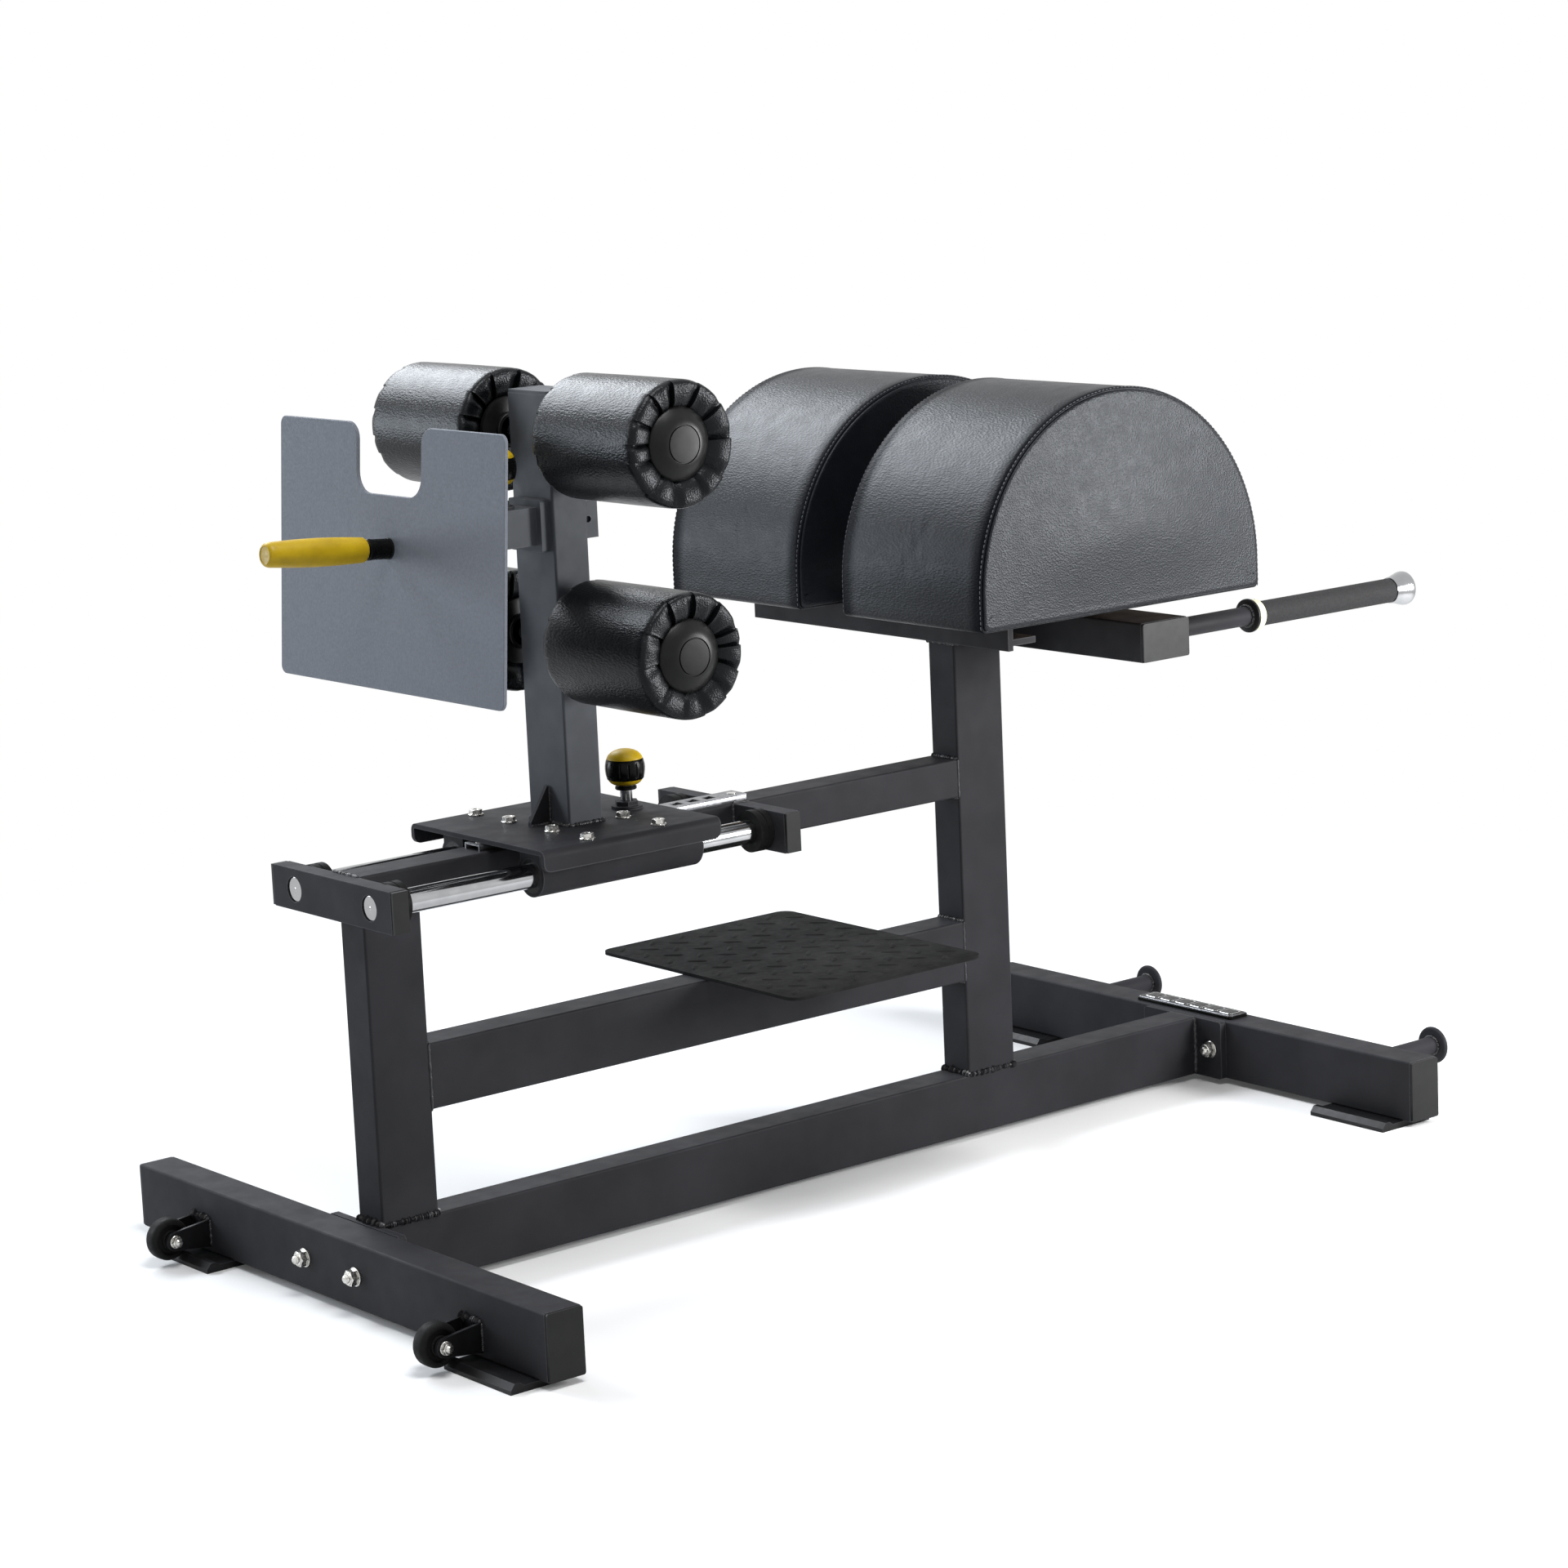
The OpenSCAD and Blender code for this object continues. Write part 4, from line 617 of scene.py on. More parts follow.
top_bolts = []
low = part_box("carriage_bolts")[0].z * 1000 - FOOT_THICK
for x in CARRIAGE_BOLT_X:
    for y in CARRIAGE_BOLT_Y:
        top_bolts += [washer(19, CARRIAGE_WASHER, (x, y, CARRIAGE_TOP), UP),
                      hexagon(14.2, 5.4, (x, y, CARRIAGE_TOP + CARRIAGE_WASHER), UP),
                      turned([(0, 0), (4, 0), (4, CARRIAGE_TOP + 0.1 - low)], (x, y, low), UP, 16)]
make_piece("carriage_bolts_detail", *together(*top_bolts), zinc, "carriage", "zinc_fasteners",
           replaces=["carriage_bolts"])
print("bolt parts", len(base_bolts) + len(top_bolts))

# %% [markdown]
# ## Padded pieces
# A pad is foam under stretched vinyl. The vinyl is held along its sewn seams and under the board, and
# between them the foam pushes it out. The same thing is done here: the mesh is built a little slim, its
# seams are pinned, and Blender's cloth is blown up with a soft pressure. What the cloth becomes is then
# kept as the mesh, and no point may go further than a few millimetres from where it began. Sculpting would
# do too, but the cloth finds the tight and the loose places by itself.

# %% Blowing up a cover
CLOTH = {
    "quality": 4, "mass": 0.25, "tension_stiffness": 12, "compression_stiffness": 12, "bending_stiffness": 0.4,
    "air_damping": 2, "use_pressure": True, "shrink_min": -0.003, "vertex_group_mass": "held",
}


def puff(jobs, frames=16):
    """Runs the cloth on several covers at once: (piece, held points, pressure, farthest mm, share).
    share(point) says how much of the cloth's movement a point keeps, from 0 to 1."""
    for piece, held, pressure, _, _ in jobs:
        group = piece.vertex_groups.new(name="held")
        group.add(held, 1.0, "REPLACE")
        cloth = piece.modifiers.new("puff", "CLOTH")
        for setting, value in CLOTH.items():
            setattr(cloth.settings, setting, value)
        cloth.settings.uniform_pressure_force = pressure
        cloth.settings.effector_weights.gravity = 0
        cloth.collision_settings.use_collision = False
        cloth.collision_settings.use_self_collision = False
        cloth.point_cache.frame_start, cloth.point_cache.frame_end = 1, frames
    for number in range(1, frames + 1):
        scene.frame_set(number)
    graph = bpy.context.evaluated_depsgraph_get()
    for piece, _, _, farthest, share in jobs:
        blown = piece.evaluated_get(graph).to_mesh()
        most = 0.0
        for vertex, new in zip(piece.data.vertices, blown.vertices):
            step = new.co - vertex.co
            if step.length > farthest / 1000:
                step *= farthest / 1000 / step.length
            step *= share(vertex.co * 1000)
            most = max(most, step.length * 1000)
            vertex.co += step
        piece.evaluated_get(graph).to_mesh_clear()
        piece.modifiers.remove(piece.modifiers["puff"])
        piece.vertex_groups.clear()
        print("blew up", piece.name, "by up to", round(most, 1), "mm")
    scene.frame_set(1)


print("cloth settings", len(CLOTH))

# %% [markdown]
# ### The thigh pads
# Each pad is a half drum on a board, sewn from a long top panel and two end panels. The seam sits right on
# the rounded edge. The outline is a list of points that can be set in by any amount, and the cover is those
# outlines laid one after the other: across the pad, round the edge, and then shrinking over the end panel.

# %% Pad outline
PAD_R, PAD_X, PAD_Z, PAD_BASE = 235.0, 1019.0, 752.0, 713.0
PAD_IN, PAD_OUT, EDGE, CORNER = 41.0, 304.0, 7.0, 7.0  # inner and outer end, rounded edge, lower corner
BOARD_IN, BOARD_TOP = 7.0, 728.3
UNDER_STEPS, ROWS_ACROSS, END_RINGS = 44, 34, 16
END_INSETS, END_MIDDLE = (8.0, 13.0), 62.0  # the panel's first rings, and its middle over the drum's axis
# Round the edge from the end panel to the top panel: an angle, and how far the cover stands above the curve.
SEAM = ((0.35, 0.5), (0.62, 0.3), (0.79, -2.0), (0.96, 0.3), (1.2, 0.5))


def pad_outline(inset):
    """The outline of a pad, as (X, Z), set in by inset: up the front, over the drum, down the back."""
    r, low = PAD_R - inset, PAD_BASE + inset
    front, back = PAD_X - r + CORNER, PAD_X + r - CORNER

    def low_corner(x, first):
        angles = [first - math.pi / 2 * k / 5 for k in range(6)]
        return [(x + CORNER * math.cos(a), low + CORNER + CORNER * math.sin(a)) for a in angles]

    drum = [math.pi - math.pi * k / 96 for k in range(97)]
    points = low_corner(front, math.pi * 1.5) + [(PAD_X - r, PAD_BASE + z) for z in (18, 26, 33)]
    points += [(PAD_X + r * math.cos(a), PAD_Z + r * math.sin(a)) for a in drum]
    points += [(PAD_X + r, PAD_BASE + z) for z in (33, 26, 18)] + low_corner(back, 0.0)
    return points + [(back + (front - back) * k / UNDER_STEPS, low) for k in range(1, UNDER_STEPS)]


def smooth(step):
    """Goes softly from 0 to 1 while step goes from 0 to 1."""
    step = min(max(step, 0), 1)
    return step * step * (3 - 2 * step)


def bulge(x, z):
    """How far the foam pushes an end panel out, in mm: nothing along its outline, most in the middle."""
    from_edge = PAD_R - math.hypot(x - PAD_X, max(z - PAD_Z, 0))
    return 6.5 * smooth(from_edge / 190) * smooth((z - PAD_BASE) / 110)


loop = len(pad_outline(0))
print("points round a pad", loop)

# %% [markdown]
# ### Painted shade in the folds
# The rounded fold beside each seam gets less shine than the middle of a pad, so the seam reads as a dark
# line: this is painted shade. A painted mask could say where. Here the distance from the seam, which is
# known, drives the shine through a ramp.

# %% Painted shade in the folds
SHADED_FOLD_WIDE = 30.0


def shade_seam_folds(finish):
    """Paints shade into the rounded fold beside each seam by taking its shine off."""
    tree = finish.node_tree
    along_y = node(tree, "SeparateXYZ", {0: node(tree, "TexCoord", out="Object")}, "Y")
    out_of_middle = maths(tree, "ABSOLUTE", along_y)
    from_inner = maths(tree, "SUBTRACT", out_of_middle, PAD_IN / 1000)
    from_outer = maths(tree, "SUBTRACT", PAD_OUT / 1000, out_of_middle)
    from_seam = maths(tree, "MINIMUM", from_inner, from_outer)
    ramp = tree.nodes.new("ShaderNodeValToRGB")
    stops = ramp.color_ramp.elements
    for where, level in ((0.0, PAD_SHINE), (0.08, PAD_SHINE), (0.16, 0.03), (0.5, 0.05), (0.95, PAD_SHINE)):
        stop = stops[0] if where == 0.0 else stops.new(where)
        stop.position, stop.color = where, (level, level, level, 1)
    stops[-1].color = (PAD_SHINE, PAD_SHINE, PAD_SHINE, 1)
    tree.links.new(maths(tree, "DIVIDE", from_seam, SHADED_FOLD_WIDE / 1000), ramp.inputs["Fac"])
    feed(finish, ramp.outputs["Color"], "Specular IOR Level")


# The pads' vinyl gets painted shade in the folds beside its seams.
shade_seam_folds(vinyl)
print("dull folds", SHADED_FOLD_WIDE, "mm wide")

# %% [markdown]
# ### The pad covers
# The top panel runs from one seam to the other, with the board's recess under it. An end panel closes each
# end. Cloth creases badly on a flat panel that is held all round, so the end panels are pinned whole and
# get their bulge from the rule above.


# %% End panel
def end_panel(before, start, s, y0, sign):
    """The rings that close one end of a cover, from its last row to the middle of the panel."""
    rim = [[(x, y0, z) for x, z in pad_outline(inset)] for inset in END_INSETS]
    middle_x, middle_z = PAD_X, PAD_Z + END_MIDDLE
    inner = []
    for step in range(1, END_RINGS + 1):
        f = 1 - step / (END_RINGS + 1)
        ring = [(middle_x + (x - middle_x) * f, middle_z + (z - middle_z) * f) for x, _, z in rim[-1]]
        inner.append([(x, y0 - sign * bulge(x, z), z) for x, z in ring])
    points, faces = [], []
    for ring in rim + inner:
        now = range(start + len(points), start + len(points) + loop)
        points += [(x, s * y, z) for x, y, z in ring]
        faces += [(a, d, c, b) if sign > 0 else (a, b, c, d) for a, b, c, d in band(before, now)]
        before = now
    centre = start + len(points)
    points.append((middle_x, s * (y0 - sign * bulge(middle_x, middle_z)), middle_z))
    for k in range(loop):
        here, following = before[k], before[(k + 1) % loop]
        faces.append((here, centre, following) if sign > 0 else (here, following, centre))
    return points, faces


print("rings in an end panel", len(END_INSETS) + END_RINGS)


# %% Pad covers
def pad_cover(name, s):
    """One sewn cover. s is 1 for the left pad and -1 for the right one."""
    wide = PAD_OUT - PAD_IN - 2 * EDGE
    rows = []
    for a, high in SEAM:
        rows.append((PAD_IN + EDGE - (EDGE + high) * math.cos(a), EDGE - (EDGE + high) * math.sin(a)))
    rows += [(PAD_IN + EDGE + wide * k / ROWS_ACROSS, 0.0) for k in range(ROWS_ACROSS + 1)]
    rows += [(PAD_OUT - (y - PAD_IN), inset) for y, inset in reversed(rows[:len(SEAM)])]
    front, back = PAD_X - PAD_R + BOARD_IN, PAD_X + PAD_R - BOARD_IN
    points = []
    for y, inset in rows:
        over_board = PAD_IN + BOARD_IN < y < PAD_OUT - BOARD_IN
        for x, z in pad_outline(inset):
            under = over_board and z <= PAD_BASE + inset + 0.01 and front < x < back
            points.append((x, s * y, BOARD_TOP if under else z))
    faces = bands(len(rows), loop)
    last = (len(rows) - 1) * loop
    top_panel = len(points)
    for first, y0, sign in ((0, PAD_IN, 1), (last, PAD_OUT, -1)):
        end_points, end_faces = end_panel(range(first, first + loop), len(points), s, y0, sign)
        points += end_points
        faces += end_faces
    if s < 0:
        faces = [tuple(reversed(face)) for face in faces]
    piece = make_piece(name, points, faces, vinyl, "frame", "black_leatherette", sharp=75)
    edge_rows = (*range(len(SEAM)), *range(len(rows) - len(SEAM), len(rows)))
    held = {row * loop + k for row in edge_rows for k in range(loop)} | set(range(top_panel, len(points)))
    held |= {i for i, p in enumerate(points) if p[2] < PAD_BASE + 12 or p[2] == BOARD_TOP}
    seam_rows = ((len(SEAM) - 1) * loop, (len(rows) - len(SEAM)) * loop)
    return piece, sorted(held), seam_rows


def pad_share(point):
    """A pad's cover hardly moves near its lower edge, where it is stapled."""
    return smooth((point.z - PAD_BASE - 15) / 120)


pads = {}
for name, s in (("left", 1), ("right", -1)):
    pads[name] = pad_cover("thigh_pad_" + name + "_cover", s)
    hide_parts("thigh_pad_" + name)
print("pad cover points", len(pads["left"][0].data.vertices))

# %% [markdown]
# ### The rollers
# A roller is a foam tube in a vinyl sleeve. At both ends the sleeve is too wide for the hole it has to go
# into, so it is gathered: twelve folds, no two alike, each with a sharp crease on one side and a soft
# hollow on the other. The columns of the mesh follow the creases, so the folds stay crisp, and the cheeks
# between them are blown up by the cloth.

# %% Folds and rings of a sleeve
ROLLER_R, SLEEVE_R, CHEEK_R = 74.0, 73.9, 60.0
ROLLER_IN, ROLLER_OUT, SHOULDER = 66.0, 268.0, 22.0
ROLLER_L = ROLLER_OUT - ROLLER_IN
MIDDLE_ROWS = 18
FOLDS = (0, 33, 64, 96, 124, 151, 178, 192, 224, 257, 290, 326)  # creases, in degrees round the shaft
# Where the columns of the mesh stand, as shares of the way from one crease to the next.
COLUMNS = (0.0, 0.06, 0.12, 0.18, 0.24, 0.31, 0.38, 0.47, 0.58, 0.7, 0.81, 0.9, 0.95, 0.982)
# Round one end, from the sleeve in to the hub: radius, distance from the end, and how much of the folds shows.
END = ((73.9, 22.0, 0.0), (73.9, 16.0, 0.03), (73.7, 12.0, 0.12), (73.2, 9.0, 0.3), (72.3, 6.8, 0.55),
       (70.9, 5.3, 0.85), (68.8, 4.5, 1.0), (66.0, 4.3, 1.0), (62.4, 4.5, 1.0), (58.4, 5.0, 1.0),
       (54.4, 5.8, 1.0), (50.6, 6.9, 1.0), (47.2, 8.4, 1.0), (44.4, 10.6, 0.9), (41.0, 13.4, 0.6))


def fold_height(u, width):
    """How high the cover stands at a share u of one cheek: a valley, a ramp, a flat cheek, a raised lip."""
    valley = -4.6 * (1 - smooth(u / 0.42))
    lip = 1.5 * math.exp(-(1 - u) * width / 1.7)
    return valley + lip + 0.5 * math.sin(math.pi * u) * min(1.2, width / 30)


def sleeve_rows():
    """The rings of a sleeve: radius, distance from its inner end, share of the folds, and which end."""
    straight = ROLLER_L - 2 * SHOULDER
    middle = [SHOULDER + straight * k / MIDDLE_ROWS for k in range(1, MIDDLE_ROWS)]
    rows = [(r, t, w, -1) for r, t, w in reversed(END)]
    rows += [(SLEEVE_R + 0.25 * math.sin(math.pi * (t - SHOULDER) / straight), t, 0.0, 0) for t in middle]
    return rows + [(r, ROLLER_L - t, w, 1) for r, t, w in END]


print("rings of a sleeve", len(sleeve_rows()), "columns", len(FOLDS) * len(COLUMNS))


# %% Four gathered covers
def roller_cover(name, s, z, spin, body, seed):
    """One gathered sleeve round a shaft at height z. The seed makes its folds its own, and spin turns it."""
    chance = random.Random(seed)
    folds = [math.radians(a + chance.uniform(-2.5, 2.5)) for a in FOLDS]
    skew = [chance.uniform(-0.09, 0.09) for _ in FOLDS]
    deep = [chance.uniform(0.8, 1.25) for _ in FOLDS]
    count = len(FOLDS)
    points, held = [], []
    rows = sleeve_rows()
    for r, t, w, end in rows:
        inward = max(0.0, (ROLLER_R - r) / 30)
        flat = max(0.0, min(1.0, (r - CHEEK_R) / (ROLLER_R - CHEEK_R)))
        starts = [folds[k] + skew[k] * inward * (end or 1) for k in range(count)]
        for k in range(count):
            after = (k + 1) % count
            cheek = starts[after] + (0 if after else 2 * math.pi) - starts[k]
            width = cheek * CHEEK_R
            for u in COLUMNS:
                ripple = 0.25 * math.sin(u * width * 0.6 + k * 2.1) * math.sin(math.pi * u)
                high = w * (fold_height(u, width) * (deep[k] if u < 0.5 else deep[after]) + ripple)
                radius = r + min(high, 0.2) * 0.6 * flat
                height = t + end * high * (1 - flat * 0.6)
                angle = math.radians(spin) + (starts[k] + cheek * u)
                if u == 0.0 or w <= 0.05 or r < 45:
                    held.append(len(points))
                points.append((POST_X + radius * math.cos(angle), s * (ROLLER_IN + height),
                               z + radius * math.sin(angle)))
    faces = bands(len(rows), count * len(COLUMNS))
    if s > 0:
        faces = [tuple(reversed(face)) for face in faces]
    cover = make_piece(name, points, faces, roller_vinyl, body, "black_leatherette", sharp=50)
    return cover, held


def keeps_all(point):
    """A roller's cover keeps all of the cloth's movement everywhere."""
    return 1.0


UPPER_SHAFT, LOWER_SHAFT = 981.7, 737.9
ROLLERS = (("upper_left", 1, UPPER_SHAFT, 12, 3), ("upper_right", -1, UPPER_SHAFT, 0, 5),
           ("lower_left", 1, LOWER_SHAFT, 200, 7), ("lower_right", -1, LOWER_SHAFT, 187, 11))
covers = []
for name, s, z, spin, seed in ROLLERS:
    cover, held = roller_cover("roller_" + name + "_cover", s, z, spin, name + "_roller", seed)
    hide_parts("roller_" + name)
    covers.append((cover, held, 1.2, 0.6, keeps_all))
print("roller cover points", len(covers[0][0].data.vertices))

# %% [markdown]
# ### Air in the covers
# All six covers are blown up in one run, because each run steps the whole scene through its frames. The
# pads get more pressure and may move 3.6 mm, the small cheeks of the rollers only 0.6 mm.

# %% Blow up pads and rollers together
puff([(cover, held, 4.0, 3.6, pad_share) for cover, held, _ in pads.values()] + covers)
print("covers", len(pads) + len(covers))

# %% [markdown]
# ### Stitches
# A row of stitches runs beside each seam. A stitch is a short thread that dives in at both ends. The rows
# follow the cover as the cloth has left it, one stitch every 6.2 mm, so this comes after the cloth. A bumpy
# line in the finish would be cheaper, but close up the threads have to stand on the vinyl.

# %% Stitches beside the pad seams
STITCH, STITCH_STEP, THREAD_R = 0.0042, 0.0062, 0.00055  # scene metres
SIDES = 6
NOT_SEWN = 4  # points at both lower corners, under the pad's edge


def stitch(start, end, up):
    """One short thread from start to end, in scene metres, rounded at both ends."""
    along = (end - start).normalized()
    beside = along.cross(up).normalized()
    angles = [2 * math.pi / SIDES * i for i in range(SIDES)]
    shape = ((0.0, 0.35), (0.15, 0.9), (0.5, 1.0), (0.85, 0.9), (1.0, 0.35))
    points = []
    for share, size in shape:
        middle = start.lerp(end, share) + up * THREAD_R * (0.55 * size - 0.1)
        points += [middle + (beside * math.cos(a) + up * math.sin(a)) * THREAD_R * size for a in angles]
    last = len(points)
    caps = [tuple(range(SIDES - 1, -1, -1)), tuple(range(last - SIDES, last))]
    return points, bands(len(shape), SIDES) + caps


for name, (cover, _, seam_rows) in pads.items():
    threads = []
    for first in seam_rows:
        sewn = range(first + NOT_SEWN, first + loop - (UNDER_STEPS - 1) - NOT_SEWN)
        line = [cover.data.vertices[i] for i in sewn]
        left_over = 0.0
        for a, b in zip(line, line[1:]):
            gap = b.co - a.co
            along = gap.normalized()
            while left_over < gap.length:
                start = a.co + along * left_over
                threads.append(stitch(start, start + along * STITCH, a.normal))
                left_over += STITCH_STEP
            left_over -= gap.length
    points, faces = together(*threads)
    back_to_mm = [(p.x * 1000 + MIDDLE_X, p.y * 1000, p.z * 1000 - FOOT_THICK) for p in points]
    make_piece("thigh_pad_" + name + "_stitches", back_to_mm, faces, thread, "frame", "black_leatherette",
               sharp=60)
    print("stitches on the", name, "pad", len(threads))

# %% [markdown]
# ### Hubs and end discs
# Each roller turns on a steel hub. A domed plastic disc with a fine ring line closes the outer end, and a
# flat washer the inner one. They are lathe pieces, so each is one profile.

# %% Roller discs
DISC_OUTER = [(41.0, ROLLER_L - 18), (43.0, ROLLER_L - 14), (43.0, ROLLER_L - 12.0), (42.0, ROLLER_L - 10.4)]
DISC_OUTER += [(r, ROLLER_L - 0.4 - 10 * ((r - 22) / 20) ** 1.7) for r in (40, 37, 34, 31, 28, 25)]
DISC_OUTER += [(22.6, ROLLER_L - 0.5), (22.1, ROLLER_L - 1.9), (21.3, ROLLER_L - 1.9), (20.9, ROLLER_L - 0.4),
               (15.0, ROLLER_L - 0.1), (8.0, ROLLER_L), (0.0, ROLLER_L)]
DISC_INNER = [(17.2, 0.3), (20.5, 0.3), (21.5, 1.0), (21.5, 5.5), (36.0, 6.5), (39.5, 7.5), (40.5, 12.0)]

for name, s, z, *_ in ROLLERS:
    foot, out = (POST_X, s * ROLLER_IN, z), (0, s, 0)
    inner_points, inner_faces = turned(DISC_INNER, foot, out, 60)
    inner = (inner_points, [tuple(reversed(face)) for face in inner_faces])
    make_piece("roller_" + name + "_discs", *together(turned(DISC_OUTER, foot, out, 72), inner), cap_plastic,
               name + "_roller", "black_plastic")
print("discs", 2 * len(ROLLERS))

# %% [markdown]
# ## Pop pins
# A spring pin locks the carriage and another locks the foot plate arm. Its knob is moulded in three parts:
# a yellow crown, a black barrel with fourteen finger slots, and a yellow ring under it. The crown is left
# plain. The slots could be cut with a boolean, but pulling in every eighth column of the lathe mesh is
# quicker and leaves a clean mesh.

# %% Knobs
KNOB_LIFT = 49.5
SLOTS, SLOT_COLUMNS, SLOT_DEEP = 14, 8, 1.1
ARM_TOP = 898
PINS = (("carriage", "carriage_pop_pin", 466, CARRIAGE_TOP), ("arm", "arm_pop_pin", 300, ARM_TOP))
CROWN = [(21.0, 11.3), (22.0, 11.9), (21.7, 13.2), (20.0, 16.2), (17.0, 19.1), (13.0, 21.4), (8.5, 22.9),
         (4.0, 23.7), (0.0, 23.9)]
RING = [(12.0, -19.6), (15.5, -19.4), (18.2, -17.6), (20.3, -15.2), (20.9, -13.9), (20.2, -13.1)]
BARREL = [(20.0, -13.4), (21.9, -13.2), (22.5, -12.4), (23.1, -9.4), (23.6, -8.2), (24.2, -4.0), (24.5, 0.0),
          (24.3, 3.5), (23.8, 6.6), (23.5, 7.8), (22.9, 10.4), (22.4, 11.2), (21.2, 11.5)]
NECK = [(7.5, -26.0), (12.4, -26.0), (13.2, -25.2), (13.2, -22.6), (12.2, -21.8), (12.0, -19.0)]


def finger_slots(angle, radius, height):
    column = round(angle / (2 * math.pi) * SLOTS * SLOT_COLUMNS)
    if -8.5 < height < 7.0 and column % SLOT_COLUMNS == 0:
        return radius - SLOT_DEEP, height
    return radius, height


for name, body, x, z in PINS:
    middle = (x, 0, z + KNOB_LIFT)
    yellow_parts = together(turned(CROWN, middle, UP, 56), turned(RING, middle, UP, 56))
    make_piece(name + "_knob_yellow", *yellow_parts, yellow, body, "yellow_plastic",
               replaces=[name + "_knob"])
    barrel = turned(BARREL, middle, UP, SLOTS * SLOT_COLUMNS, finger_slots)
    make_piece(name + "_knob_black", *together(barrel, turned(NECK, middle, UP, 48)), gloss_black, body,
               "black_plastic")
print("knobs", len(PINS), "with", SLOTS, "slots")

# %% [markdown]
# ## The foot plate's grip
# The foot plate is pulled by a yellow barrel grip on a black collar, bolted through the plate. The plate
# leans by 4.2 degrees, and the grip stands square to it, so the plate's own directions are worked out first.

# %% Foot plate grip
TILT = math.radians(4.2)
PLATE_FOOT = Vector((130.4, 0, 705))
GRIP_UP = 166
pull = Vector((-math.cos(TILT), 0, math.sin(TILT)))
up_plate = Vector((math.sin(TILT), 0, math.cos(TILT)))
grip_foot = PLATE_FOOT + up_plate * GRIP_UP

grip_barrel = [(9.0, 34.0), (12.6, 34.2), (13.8, 35.0), (14.6, 36.6)]
grip_barrel += [(14.7 + 1.9 * math.sin(math.pi * k / 14), 37.0 + 124.0 * k / 14) for k in range(15)]
grip_barrel += [(14.4, 163.5), (13.6, 166.0), (12.2, 167.6), (10.8, 168.3), (10.2, 168.2), (9.8, 167.6),
                (9.2, 167.5), (0.0, 167.7)]
make_piece("foot_plate_grip_turned", *turned(grip_barrel, grip_foot, pull, 64), yellow, "foot_plate_slider",
           "yellow_plastic", replaces=["foot_plate_grip"])
collar = [(6.0, -0.2), (12.6, 0.0), (12.6, 1.2), (12.0, 1.6), (12.0, 25.0), (12.5, 25.6), (12.5, 30.2),
          (11.8, 30.8), (11.6, 33.4), (9.0, 34.2)]
make_piece("grip_collar_turned", *turned(collar, grip_foot, pull, 48), gloss_black, "foot_plate_slider",
           "black_rubber", replaces=["grip_collar"])
print("the grip points along", tuple(round(v, 3) for v in pull))

# %% [markdown]
# ## The handles
# Each of the two handles at the back has a foam grip between a black ring with a cream ring, and a bright
# bell mouthed end. A handle could be one long profile, but its four parts differ in finish, so each part is
# a profile of its own, turned for both handles.

# %% Handles
HANDLE_X, HANDLE_Y, HANDLE_Z = 1299, 235, 664
GRIP_L = 252
HANDLE_PARTS = (
    ("handle_rings_turned", plastic, "black_plastic", "handle_rings", 56,
     [(12.5, -3.2), (14.4, -2.4), (15.2, -0.8), (17.0, -0.2), (20.6, 0.0), (21.8, 0.9), (22.0, 2.4),
      (21.8, 4.0), (20.9, 4.8), (18.0, 5.1)]),
    ("handle_trims_turned", cream, "cream_trim", "handle_trims", 56,
     [(18.0, 5.0), (19.2, 5.3), (20.0, 6.0), (20.0, 15.6), (19.3, 16.6), (15.8, 17.0)]),
    ("handle_grips_foam", foam_grip, "black_rubber", "handle_grips", 56,
     [(12.0, 11.1), (15.2, 11.2), (15.9, 12.0)] + [(16.0, 12.5 + GRIP_L * k / 20) for k in range(21)] +
     [(15.6, 265.6), (14.6, 266.0)]),
    ("handle_ends_bright", bright, "bright_rod", "handle_ends", 72,
     [(14.0, 266.0), (17.0, 266.1), (17.3, 268.0), (17.9, 272.0), (19.0, 277.0), (20.4, 282.0), (21.8, 287.0),
      (22.4, 290.0), (22.5, 292.0), (22.2, 294.0), (21.2, 295.0), (19.6, 294.6), (17.5, 291.5), (14.0, 289.6),
      (0.0, 289.0)]),
)
for name, finish, slot, stands_for, steps, profile in HANDLE_PARTS:
    both = [turned(profile, (HANDLE_X, s * HANDLE_Y, HANDLE_Z), BACKWARD, steps) for s in (-1, 1)]
    make_piece(name, *together(*both), finish, "frame", slot, replaces=[stands_for])
print("handle parts", len(HANDLE_PARTS))

# %% [markdown]
# ## Wheels and axles
# The wheels are solid rubber with round shoulders and a sunk web round the hub. Half of the tyre's profile
# is drawn, and the other half is its mirror image. The axle is a bolt with a nut on the outer side.

# %% Wheels
WHEEL_X, WHEEL_Y, WHEEL_Z = -50, 288, 25
tyre = [(4.2, -8.0), (7.5, -8.0), (8.6, -9.8), (10.4, -10.2), (11.6, -9.6), (12.2, -7.6), (17.2, -7.6),
        (18.0, -8.4), (18.8, -10.4), (20.4, -10.9), (22.6, -10.3), (24.6, -8.6), (25.8, -6.2), (26.0, -3.0),
        (26.0, 0.0)]
tyre += [(r, -h) for r, h in reversed(tyre[:-1])]
for name, s in (("left", 1), ("right", -1)):
    hub = (WHEEL_X, s * WHEEL_Y, WHEEL_Z)
    make_piece("wheel_" + name + "_tyre", *turned(tyre, hub, LEFTWARD, 64), rubber, name + "_wheel",
               "black_rubber", replaces=["wheel_" + name])
axles = []
